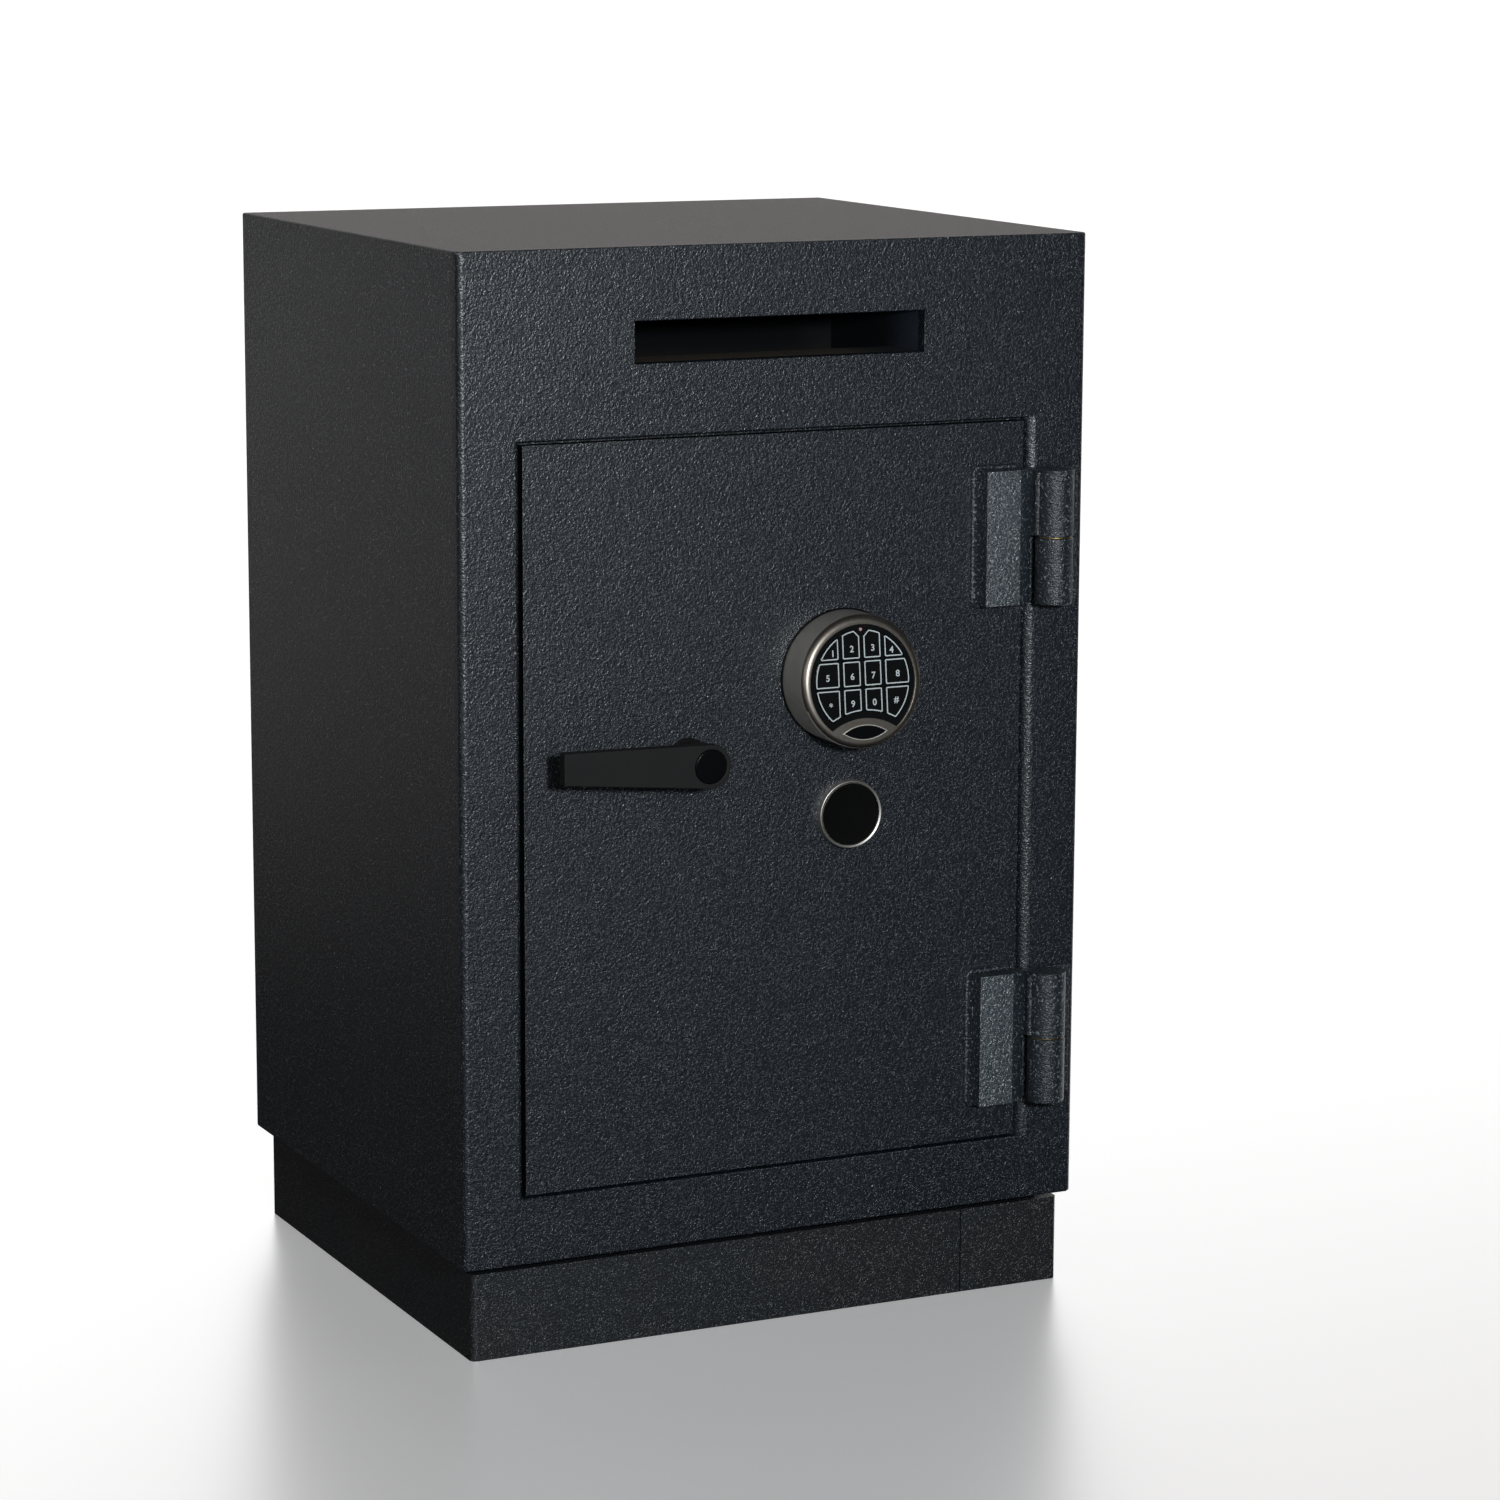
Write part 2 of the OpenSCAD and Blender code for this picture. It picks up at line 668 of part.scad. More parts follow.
module boltwork_cover() {
  x0 = rear_lo[0] + guide_t;
  x1 = rear_hi[0] - dog_w;
  z0 = rear_lo[1] + works_in;
  z1 = rear_hi[1] - works_in;
  color(paint) difference() {
    block([x0, tray_back, z0], [x1, works_back, z1]);
    block([x0 - e, tray_back - e, z0 + tray_t], [x1 + e, works_back - tray_t, z1 - tray_t]);
    cover_screw_rods(works_back - screw_l, works_back + e, 2.5);
  }
}

module cover_screw_rods(y0, y1, r) {
  for (z = [rear_lo[1] + 2 * works_in, (rear_lo[1] + rear_hi[1]) / 2 + 2 * works_in,
            rear_hi[1] - 2 * works_in])
    rod_y(rear_lo[0] + guide_t + 8, z, r, y0, y1);
}

module cover_screws() {
  color(steel) {
    cover_screw_rods(works_back - tray_t, works_back, 2.5);
    cover_screw_rods(works_back, works_back + 3, 5);
  }
}

// Two shouldered posts that carry the carriage's arms in their slots
module carriage_posts() {
  color(steel) for (z = post_z) {
    rod_y(post_x, z, post_r, tray_back, arm_y + arm_t + 1);
    rod_y(post_x, z, post_r + 4, arm_y + arm_t + 1, works_back - tray_t);
    rod_y(post_x, z, post_r + 4, tray_back, arm_y - air);
  }
}

module handle_bush() {
  color("#b08d4a") difference() {
    rod_y(handle_x, handle_z, 10, face_y, tray_back);
    rod_y(handle_x, handle_z, spindle_r + run, face_y - e, tray_back + e);
  }
}

module handle_rose() {
  color(dark) difference() {
    rod_y(handle_x, handle_z, neck_r, face_y - rose_t, face_y);
    rod_y(handle_x, handle_z, spindle_r + air, face_y - rose_t - e, face_y + e);
  }
}

module lock_case() {
  color(steel) difference() {
    block([lock_l, lock_y, lock_b], [lock_l + lock_w, lock_y + lock_d, lock_b + lock_h]);
    block([lock_l - e, bolt_y - lock_bolt_t / 2 - air, lock_bolt_z - lock_bolt_h / 2 - air],
          [lock_l + lock_bolt_l + 1, bolt_y + lock_bolt_t / 2 + air, lock_bolt_z + lock_bolt_h / 2 + air]);
    lock_screw_rods(lock_y + 4, lock_y + lock_d + e, 3);
  }
}

module lock_screw_rods(y0, y1, r) {
  for (x = [lock_l + 8, lock_l + lock_w - 8], z = [lock_b + 8, lock_b + lock_h - 8]) rod_y(x, z, r, y0, y1);
}

module lock_screws() {
  color(dark) {
    lock_screw_rods(lock_y + 4, lock_y + lock_d, 3);
    lock_screw_rods(lock_y + lock_d, lock_y + lock_d + 3, 5);
  }
}

// Keypad: its own frame has Z out of the tilted face and Y up along it

module on_face(depth) {
  translate([pad_x, face_y - pad_out, pad_z]) rotate([90 - pad_tilt, 0, 0])
    translate([0, face_up, -depth]) children();
}

module keypad_base() {
  color(dark) difference() {
    rod_y(pad_x, pad_z, base_r, face_y - base_t, face_y);
    rod_y(pad_x, pad_z, 4, face_y - base_t - e, face_y + e);
  }
}

// The crescent below the keys, cut out of the black face
module face_outline(r) {
  difference() {
    circle(r);
    translate([0, arc_z]) circle(arc_r);
  }
}

module keypad_housing() {
  color(satin) difference() {
    intersection() {
      rod_y(pad_x, pad_z, pad_r, face_y - 60, face_y - base_t);
      on_face(60) translate([0, -face_up, 0]) rotate_extrude() union() {
        square([pad_r + 0.2 - pad_edge, 60]);
        square([pad_r + 0.2, 60 - pad_edge]);
        translate([pad_r + 0.2 - pad_edge, 60 - pad_edge]) circle(pad_edge);
      }
      on_face(60) translate([-60, -60, 0]) cube([120, 120, 60]);
    }
    intersection() {
      rod_y(pad_x, pad_z, pad_r - pad_wall, face_y - 60, face_y - base_t + e);
      on_face(60) translate([-60, -60, 0]) cube([120, 120, 60 - 7]);
    }
    on_face(8) linear_extrude(8 + e) face_outline(face_r);
    on_face(1) translate([0, -badge_low, 0]) badge_disc(2);
  }
}

module badge_disc(h) {
  linear_extrude(h) intersection() {
    translate([0, badge_r() - badge_h / 2]) circle(badge_r());
    translate([0, badge_h / 2 - badge_r()]) circle(badge_r());
  }
}

// The badge's outline is two arcs that meet in points
function badge_r() = (pow(badge_w / 2, 2) + pow(badge_h / 2, 2)) / badge_h;

module keypad_badge() {
  color(dark) on_face(1) translate([0, -badge_low, 0]) badge_disc(1.2);
}

// One key's outline: a cell of the grid, cut by the outer circle and the lower arc
module key_outline(i, grow) {
  c = i % 4;
  r = floor(i / 4);
  side = key_gap / 2 - grow;
  over = key_row_gap / 2 - grow;
  lamp_side = lamp_free * sqrt(2) - 2 * grow;
  intersection() {
    translate([key_cols[c] + side, key_rows[r] + over])
      square([key_cols[c + 1] - key_cols[c] - 2 * side, key_rows[r + 1] - key_rows[r] - 2 * over]);
    difference() {
      translate([0, key_lift]) circle(key_ring + grow);
      translate([0, arc_z]) circle(key_arc - grow);
      translate([0, lamp_up]) rotate(45) square(lamp_side, center = true);
    }
  }
}

module keypad_face() {
  color(dark) on_face(face_t + face_in) difference() {
    linear_extrude(face_t) face_outline(face_r);
    translate([0, 0, -e]) linear_extrude(face_t + 2 * e) for (i = [0:11]) key_outline(i, key_room);
    translate([0, lamp_up, -e]) cylinder(h = face_t + 2 * e, r = 1.3);
  }
}

module led_lens() {
  color("#c8402a") on_face(face_t + face_in) translate([0, lamp_up, 0]) cylinder(h = face_t + 0.3, r = 1.3);
}

module key(i) {
  color(dark) on_face(key_stack - key_travel - air + face_in)
    linear_extrude(key_stack - key_travel - air + key_proud) key_outline(i, 0);
}

module keypad_board() {
  color("#1d5a35") on_face(board_back + board_t - 0.8 + face_in) linear_extrude(board_t) face_outline(face_r - 0.5);
}

module keypad_battery() {
  color("#7a7d80") block([pad_x - battery_w / 2, face_y - base_t - 17, pad_z - 20],
                         [pad_x + battery_w / 2, face_y - base_t, pad_z - 8]);
}

module keypad_cable() {
  color(dark) rod_y(pad_x, pad_z, cable_r, face_y - base_t - 6, lock_y);
}

module key_escutcheon() {
  color(satin) difference() {
    rod_y(lockkey_x, lockkey_z, ring_r, face_y - ring_h, face_y);
    rod_y(lockkey_x, lockkey_z, cover_r + run, face_y - ring_h - e, face_y - 1);
    rod_y(lockkey_x, lockkey_z, barrel_r, face_y - 2, face_y + e);
  }
}

module key_lock() {
  color(steel) difference() {
    rod_y(lockkey_x, lockkey_z, barrel_r, face_y - 1, tray_back + 20);
    block([lockkey_x - 1.2, face_y - 1 - e, lockkey_z - 5], [lockkey_x + 1.2, face_y + 20, lockkey_z + 5]);
    rod_y(lockkey_x, lockkey_z, 2.6, face_y - 1 - e, face_y + 20);
  }
}

module key_cover() {
  color(dark) rod_y(lockkey_x, lockkey_z, cover_r, face_y - ring_h + 1, face_y - 1 - air);
}

// Handle, in one turning body

module handle_lever() {
  tip_x = handle_x - lever_l;
  tip_z = handle_z + tip_up;
  color(dark) difference() {
    union() {
      slab_y(lever_face, lever_face + lever_t) {
        translate([handle_x, handle_z]) circle(hub_r);
        polygon([[handle_x, handle_z + hub_r], [tip_x, tip_z + tip_h / 2],
                 [tip_x, tip_z - tip_h / 2], [handle_x, handle_z - hub_r]]);
      }
      rod_y(handle_x, handle_z, neck_r, lever_face + 1, face_y - rose_t - air);
    }
    rod_y(handle_x, handle_z, cap_r, lever_face - e, lever_face + 3);
    rod_y(handle_x, handle_z, spindle_r, lever_face + 2, face_y);
  }
}

module handle_cap() {
  color("black") rod_y(handle_x, handle_z, cap_r, lever_face - 0.5, lever_face + 3);
}

module handle_spindle() {
  color(steel) rod_y(handle_x, handle_z, spindle_r, lever_face + 3, disc_y + disc_t);
}

// The disc on the spindle, with the pin that drives the carriage
module cam_disc() {
  a = handle_turn / 2;
  color(steel) {
    difference() {
      rod_y(handle_x, handle_z, disc_r, disc_y, disc_y + disc_t);
      rod_y(handle_x, handle_z, spindle_r, disc_y - e, disc_y + disc_t + e);
    }
    rod_y(handle_x + crank_r * sin(a), handle_z + crank_r * cos(a), drive_r,
          disc_y + disc_t - e, arm_y + arm_t);
  }
}

// Bolt carriage: a bar with arms for the drive pin, the posts and the lock's bolt

module bolt_carriage() {
  a = handle_turn / 2;
  pin_x = handle_x + crank_r * sin(a);
  slot_half = drive_r + drive_room;
  z_lo = handle_z + crank_r * cos(a) - slot_half;
  z_hi = handle_z + crank_r + slot_half;
  color(steel) difference() {
    union() {
      block([bar_x, bolt_y - bar_t / 2, bolt_z[0] - bar_end],
            [bar_x + bar_w, bolt_y + bar_t / 2, bolt_z[bolt_count - 1] + bar_end]);
      block([bar_x + bar_w - e, arm_y, z_lo - 10], [pin_x + slot_half + 8, arm_y + arm_t, z_hi + 10]);
      block([bar_x + bar_w - e, arm_y, lock_bolt_z - 10], [lock_l - 1.2, arm_y + arm_t, lock_bolt_z + 10]);
      for (z = post_z)
        block([bar_x + bar_w - e, arm_y, z - arm_h / 2],
              [post_x + post_r + 10, arm_y + arm_t, z + arm_h / 2]);
    }
    slab_y(arm_y - e, arm_y + arm_t + e) {
      translate([pin_x - slot_half, z_lo + slot_half]) square([2 * slot_half, z_hi - z_lo - 2 * slot_half]);
      for (z = [z_lo + slot_half, z_hi - slot_half]) translate([pin_x, z]) circle(slot_half);
    }
    for (z = post_z) slab_y(arm_y - e, arm_y + arm_t + e) {
      translate([post_x, z - post_r - air]) square([bolt_throw, 2 * (post_r + air)]);
      for (x = [post_x, post_x + bolt_throw]) translate([x, z]) circle(post_r + air);
    }
    for (z = bolt_z) rod_x(bolt_y, z, 5, bar_x - e, bar_x + bar_w + e);
  }
}

module locking_bolts() {
  color("#c9cbcc") for (z = bolt_z) {
    rod_x(bolt_y, z, bolt_r, bolt_tip, bar_x);
    rod_x(bolt_y, z, 5, bar_x - e, bar_x + bar_w);
  }
}

module lock_bolt() {
  color("#b08d4a") block([lock_l - 0.5, bolt_y - lock_bolt_t / 2, lock_bolt_z - lock_bolt_h / 2],
                         [lock_l + lock_bolt_l, bolt_y + lock_bolt_t / 2, lock_bolt_z + lock_bolt_h / 2]);
}

outer_shell();
front_frame();
frame_fill();
barrier_fill();
inner_liner();
plinth_frame();
anchor_sleeves();
plinth_bolts();
deposit_chute();
anti_fishing_comb();
hinge_frame_leaves();
hinge_pins();
hinge_washers();
bolt_keepers();
door_plate();
door_tray();
door_fill();
hinge_door_leaves();
dog_bar();
bolt_guide();
boltwork_cover();
cover_screws();
carriage_posts();
handle_bush();
handle_rose();
lock_case();
lock_screws();
keypad_base();
keypad_housing();
keypad_face();
keypad_board();
keypad_battery();
keypad_badge();
led_lens();
keypad_cable();
key_escutcheon();
key_lock();
handle_lever();
handle_cap();
handle_spindle();
cam_disc();
bolt_carriage();
locking_bolts();
lock_bolt();
key_cover();
for (i = [0:11]) key(i);
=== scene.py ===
# %% [markdown]
# # A drop safe, finished for the eye
# The steel box, its door and its boltwork already exist as exact CAD solids. This notebook
# dresses them: rounded and painted edges, brushed metal, printed keys, and a small studio.
# The first step loads the solids as a fixed frame, so that every new piece takes its place
# from them and nothing has to be fitted afterwards.

# %% Load the safe
import json
import math

import bmesh
import bpy
from mathutils import Matrix, Vector

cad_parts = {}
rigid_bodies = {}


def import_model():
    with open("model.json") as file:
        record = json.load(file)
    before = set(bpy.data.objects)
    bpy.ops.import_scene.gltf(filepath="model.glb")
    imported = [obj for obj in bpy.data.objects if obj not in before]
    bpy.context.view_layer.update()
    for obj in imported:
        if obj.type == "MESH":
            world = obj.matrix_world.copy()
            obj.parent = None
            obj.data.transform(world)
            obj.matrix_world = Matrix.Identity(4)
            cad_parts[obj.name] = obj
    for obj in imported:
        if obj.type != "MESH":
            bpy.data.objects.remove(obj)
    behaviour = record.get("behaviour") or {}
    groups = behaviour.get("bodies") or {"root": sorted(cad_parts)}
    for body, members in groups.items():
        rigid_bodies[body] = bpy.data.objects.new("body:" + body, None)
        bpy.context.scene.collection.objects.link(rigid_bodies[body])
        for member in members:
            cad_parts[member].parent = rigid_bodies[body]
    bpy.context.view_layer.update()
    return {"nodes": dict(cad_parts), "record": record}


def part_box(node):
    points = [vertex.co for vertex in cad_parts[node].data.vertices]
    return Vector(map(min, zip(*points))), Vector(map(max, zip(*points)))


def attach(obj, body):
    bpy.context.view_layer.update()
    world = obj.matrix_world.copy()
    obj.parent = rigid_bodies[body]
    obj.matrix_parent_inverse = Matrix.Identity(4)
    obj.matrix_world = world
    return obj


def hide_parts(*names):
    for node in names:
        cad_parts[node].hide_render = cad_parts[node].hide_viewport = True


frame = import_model()
scene = bpy.context.scene
print("nodes loaded:", len(frame["nodes"]))

# %% [markdown]
# ## The camera
# The photograph was taken with a long lens from the left and a little above. The five values
# below come from matching the safe's corners to the picture. The camera is made first,
# because all that follows is judged through it.

# %% Set up the camera
CAMERA_AT = Vector((-1.4194, -3.1022, 1.0329))
CAMERA_TURN = math.radians(-25.83)
CAMERA_RISE = math.radians(10.59)
CAMERA_ROLL = math.radians(0.24)
CAMERA_LENS = 108.02

camera_data = bpy.data.cameras.new("camera")
camera_data.lens = CAMERA_LENS
camera_data.sensor_width = 36
camera_data.clip_end = 200
camera = bpy.data.objects.new("camera", camera_data)
scene.collection.objects.link(camera)
scene.camera = camera
turn = Matrix.Rotation(CAMERA_TURN, 4, "Z")
tip = Matrix.Rotation(math.pi / 2 - CAMERA_RISE, 4, "X")
roll = Matrix.Rotation(CAMERA_ROLL, 4, "Z")
camera.matrix_world = Matrix.Translation(CAMERA_AT) @ turn @ tip @ roll
print("camera at", tuple(camera.location))

# %% [markdown]
# ## Light
# A product studio: a small key lamp just right of the camera, and a weak broad lamp on the
# left that draws the upright edge. All round is white, but as a light this white has only a
# quarter of its strength, so that the dark paint stays dark. Cards do what flags and
# reflectors do in a studio: the dark ones keep the white off the safe's faces, and the pale
# ones give a little of it back. Lamps and cards are set for this one camera.

# %% Small helpers for sizes and colours
def mm(size):
    """A size in millimetres, in metres."""
    return size / 1000


def at(x, y, z):
    """A point in millimetres, in metres."""
    return Vector((x, y, z)) / 1000


def shade(red, green, blue):
    """A screen colour from 0 to 255, as the linear colour that a shader takes."""
    return tuple((c / 255 / 12.92) if c < 10.3 else ((c / 255 + 0.055) / 1.055) ** 2.4
                 for c in (red, green, blue)) + (1,)


def scaled(colour, by):
    """The same colour, lighter or darker by a factor."""
    return tuple(by * c for c in colour[:3]) + (1,)


print("a middle grey is", shade(128, 128, 128)[0], "in light")

# %% Lamps
def soft_lamp(name, place, aim, size, power, colour):
    """A square lamp that looks at a point."""
    data = bpy.data.lights.new(name, "AREA")
    data.size = size
    data.energy = power
    data.color = colour
    lamp = bpy.data.objects.new(name, data)
    lamp.location = place
    lamp.rotation_euler = (Vector(aim) - Vector(place)).to_track_quat("-Z", "Y").to_euler()
    scene.collection.objects.link(lamp)


soft_lamp("key_lamp", place=(-0.57, -3.1, 1.19), aim=(0, -0.22, 0.45), size=0.22, power=72,
          colour=(0.93, 0.97, 1))
soft_lamp("edge_lamp", place=(-3.0, -1.9, 1.5), aim=(-0.25, -0.2, 0.45), size=1.4, power=11,
          colour=(1, 0.95, 0.92))
print("lamps:", len(bpy.data.lights))

# %% [markdown]
# ## Writing a material as a sum
# A node tree is easier to read as arithmetic. The class Value wraps one output of a node:
# adding or multiplying two of them adds a Math node. Every other node comes from the one
# method node(), which first makes the settings and then fills or links the sockets.

# %% A class for values
class Value:
    """One output of a node. Sums on it add Math nodes to the same finish."""

    def __init__(self, finish, socket):
        self.finish = finish
        self.socket = socket

    def sum(self, operation, first, second):
        return self.finish.node("Math", {"operation": operation}, {0: first, 1: second})

    def __add__(self, other):
        return self.sum("ADD", self, other)

    def __radd__(self, other):
        return self.sum("ADD", other, self)

    def __sub__(self, other):
        return self.sum("SUBTRACT", self, other)

    def __rsub__(self, other):
        return self.sum("SUBTRACT", other, self)

    def __mul__(self, other):
        return self.sum("MULTIPLY", self, other)

    def __rmul__(self, other):
        return self.sum("MULTIPLY", other, self)


print("values add Math nodes")

# %% A class for finishes
class Finish:
    """A material whose nodes are added one by one."""

    def __init__(self, data):
        data.use_nodes = True
        self.data = data
        self.tree = data.node_tree
        self.tree.nodes.clear()

    def node(self, kind, settings=None, sockets=None, output=0):
        made = self.tree.nodes.new("ShaderNode" + kind)
        for name, value in (settings or {}).items():
            if name == "stops":
                steps = made.color_ramp.elements
                steps.remove(steps[1])
                for i, (place, colour) in enumerate(value):
                    step = steps.new(place) if i else steps[0]
                    step.position = place
                    step.color = colour
            else:
                setattr(made, name, value)
        for name, value in (sockets or {}).items():
            if isinstance(value, Value):
                self.tree.links.new(value.socket, made.inputs[name])
            else:
                made.inputs[name].default_value = value
        return Value(self, made.outputs[output]) if made.outputs else None

    def fade(self, value, low, high):
        """0 below low, 1 above high, and a soft step between."""
        return self.node("MapRange", {"interpolation_type": "SMOOTHSTEP"},
                         {"Value": value, "From Min": low, "From Max": high})

    def blend(self, factor, first, second):
        """One colour at factor 0, the other at 1."""
        return self.node("Mix", {"data_type": "RGBA"}, {0: factor, 6: first, 7: second}, output=2)

    def grain(self, size, place, detail=2.0, kind="Noise"):
        """A noise whose features are about size millimetres wide."""
        return self.node("Tex" + kind, None, {"Vector": place, "Scale": 1 / mm(size), "Detail": detail})

    def bump(self, height, depth):
        """Turns a height from 0 to 1 into a relief depth millimetres deep."""
        return self.node("Bump", None, {"Height": height, "Distance": mm(depth), "Strength": 1.0})

    def seen(self):
        """1 where the camera, a reflection or glass looks, and 0 for light that falls on things."""
        shown = self.node("LightPath", output="Is Camera Ray")
        for ray in ("Is Glossy Ray", "Is Transmission Ray"):
            shown = shown.sum("MAXIMUM", shown, self.node("LightPath", output=ray))
        return shown

    def close(self, **sockets):
        """Adds the surface shader; Base_Color stands for the socket Base Color."""
        named = {name.replace("_", " "): value for name, value in sockets.items()}
        surface = self.node("BsdfPrincipled", None, named)
        self.node("OutputMaterial", None, {"Surface": surface})
        return self.data


def new_finish(name):
    """A new material, and the place on its object where its patterns are read."""
    finish = Finish(bpy.data.materials.new(name))
    place = finish.node("TexCoord", output="Object")
    return finish, place


print("finishes are written as sums")

# %% World: white to look at, a quarter as bright as a light
WORLD_LIGHT = 0.25
WORLD_TINT = (1, 0.97, 0.96, 1)

world = bpy.data.worlds.new("studio")
scene.world = world
sky = Finish(world)
lit = sky.node("Background", None, {"Color": WORLD_TINT, "Strength": WORLD_LIGHT})
white = sky.node("Background", None, {"Color": (1, 1, 1, 1), "Strength": 1.0})
both = sky.node("MixShader", None, {0: sky.seen(), 1: lit, 2: white})
sky.node("OutputWorld", None, {"Surface": both})
scene.view_settings.view_transform = "Standard"
print("world as a light:", WORLD_LIGHT)

# %% Floor: white, a little glossy, so that the safe is mirrored softly
FLOOR_REACH = 60.0
FLOOR_ROUGH = 0.33
FLOOR_GLOSS = 0.8
FLOOR_GLOW = 0.25


def plane(name, lo, hi):
    """A flat square as a mesh object, from one corner to the other."""
    bm = bmesh.new()
    bmesh.ops.create_grid(bm, x_segments=1, y_segments=1, size=0.5)
    size = Vector(hi) - Vector(lo)
    middle = (Vector(hi) + Vector(lo)) / 2
    thin = min(range(3), key=lambda i: size[i])
    if thin < 2:
        bmesh.ops.rotate(bm, verts=bm.verts, matrix=Matrix.Rotation(math.pi / 2, 3, "YX"[thin]))
    bmesh.ops.scale(bm, verts=bm.verts, vec=[max(s, 1e-9) for s in size])
    bmesh.ops.translate(bm, verts=bm.verts, vec=middle)
    mesh = bpy.data.meshes.new(name)
    bm.to_mesh(mesh)
    bm.free()
    made = bpy.data.objects.new(name, mesh)
    scene.collection.objects.link(made)
    return made


floor = plane("floor", (-FLOOR_REACH, -FLOOR_REACH, 0), (FLOOR_REACH, FLOOR_REACH, 0))
finish = Finish(bpy.data.materials.new("floor_white"))
matt = finish.node("BsdfDiffuse", None, {"Color": (0.9, 0.9, 0.91, 1)})
gloss = finish.node("BsdfGlossy", None, {"Color": (1, 1, 1, 1), "Roughness": FLOOR_ROUGH})
board = finish.node("MixShader", None, {0: FLOOR_GLOSS, 1: matt, 2: gloss})
glow = finish.node("Emission", None, {"Color": (1, 1, 1, 1), "Strength": FLOOR_GLOW * finish.seen()})
lit_board = finish.node("AddShader", None, {0: board, 1: glow})
finish.node("OutputMaterial", None, {"Surface": lit_board})
floor.data.materials.append(finish.data)
floor.visible_glossy = False
print("floor:", 2 * FLOOR_REACH, "m wide; reflections see the cards under it instead")

# %% Dark and pale cards that only reflections see
dark = bpy.data.materials.new("flag_black")
dark.use_nodes = True
dark.node_tree.nodes["Principled BSDF"].inputs["Base Color"].default_value = (0.02, 0.02, 0.02, 1)
CARDS = {"flag_left": ((-4.2, -4.5, 0), (-4.2, 4.5, 12)),
         "flag_front": ((-4.2, -5.2, 0), (5, -5.2, 12)),
         "flag_rear": ((-4.2, 4.5, 0), (-0.9, 4.5, 4.5)),
         "floor_card_front": ((-4.2, -5.2, -0.002), (5, -0.19, -0.002)),
         "floor_card_left": ((-4.2, -0.19, -0.002), (-0.2, 1.2, -0.002)),
         "floor_card_right": ((1.3, -0.19, -0.002), (5, 4.2, -0.002)),
         "flag_right": ((5, -5.2, 0), (5, 0, 12)),
         "pale_card_left": ((-3.2, 2.0, -0.001), (-0.5, 3.1, -0.001)),
         "dim_card_left": ((-4.2, 1.2, -0.002), (-0.2, 4.5, -0.002)),
         "flag_above": ((-4.2, -5.2, 6), (5, 4.5, 6)),
         "grey_rear": ((-0.3, 1.5, 0.85), (3, 1.5, 3.5))}
CARD_GLOW = {"grey_rear": 0.5, "dim_card_left": 0.08, "pale_card_left": 0.45, "floor_card_left": 0.03}
CARD_TINT = (1, 0.95, 0.93, 1)
for name, (lo, hi) in CARDS.items():
    card = plane(name, lo, hi)
    card.data.materials.append(dark)
    if name in CARD_GLOW:
        grey = Finish(bpy.data.materials.new("card_grey_" + name))
        shine = grey.node("Emission", None, {"Color": CARD_TINT, "Strength": CARD_GLOW[name]})
        grey.node("OutputMaterial", None, {"Surface": shine})
        card.data.materials[0] = grey.data
    for ray in ("camera", "diffuse", "transmission", "volume_scatter", "shadow"):
        setattr(card, "visible_" + ray, False)
print("cards:", len(CARDS), "of which", len(CARD_GLOW), "glow")

# %% [markdown]
# ## Paint
# The safe wears a structured powder coat: charcoal with a breath of blue, as rough to the
# touch as orange peel. A height made of two sizes of noise gives the skin, and small grains
# stand out of it and catch the key lamp. Where a coat asks for it, these grains are painted
# paler too, which paints glints on them, and the hollows of the skin are always painted darker,
# which paints shade in them. The colour wanders a little, because such a coat is never even.
# The plinth wears the same kind of coat in its own tone and relief. The top wears a lighter,
# shinier copy with a deeper relief, which paints the brighter light that falls on it. The
# hinges' leaves wear a lighter copy with a coarse relief, which paints light on them, and
# their knuckles, left faces and weld beads a darker one, which paints shade. Seams are plain
# dull black, and the door's narrow sides are painted black as shade in the gap round it.

# %% Structured paint
def structured_paint(name, colour, worn, grain, depth, rough, shine, painted_glint=0.0, speck=1.2):
    """Powder coat with painted glints and shade; skin, specks and relief depth are in millimetres."""
    finish, place = new_finish(name)
    skin = finish.grain(grain, place, 1)
    fine = finish.grain(grain * 0.45, place, 1)
    pips = finish.fade(finish.grain(speck, place, 0), 0.6, 0.76)
    height = 0.5 * skin + 0.4 * fine + 0.4 * pips
    cloud = finish.fade(finish.grain(90, place, 3), 0.35, 0.7)
    tone = finish.blend(cloud, colour, worn)
    # The hollows of the skin are painted darker: painted shade.
    hollow_shade = finish.fade(skin, 0.3, 0.55)
    tone_with_painted_light = finish.blend(hollow_shade, scaled(colour, 0.7), tone)
    # Specks are painted paler: painted glints that stand in for highlights.
    tone_with_painted_light = finish.blend(painted_glint * pips, tone_with_painted_light, (0.16, 0.18, 0.2, 1))
    return finish.close(Base_Color=tone_with_painted_light, Roughness=rough - 0.09 * pips, IOR=1.6,
                        Specular_IOR_Level=shine, Normal=finish.bump(height, depth))


body_paint = structured_paint("structured_paint", shade(10, 18, 26), shade(11, 19, 27),
                              grain=2.3, depth=0.85, rough=0.36, shine=0.66, painted_glint=0.24)
# A lighter, shinier copy for the top: painted light that falls on it.
top_lit_paint = structured_paint("top_lit_paint", shade(15, 24, 31), shade(16, 25, 32),
                             grain=2.2, depth=2.2, rough=0.37, shine=0.84, painted_glint=0.3)
plinth_paint = structured_paint("plinth_paint", shade(16, 21, 26), shade(21, 23, 25),
                                grain=1.8, depth=0.6, rough=0.4, shine=0.6, painted_glint=0.18)
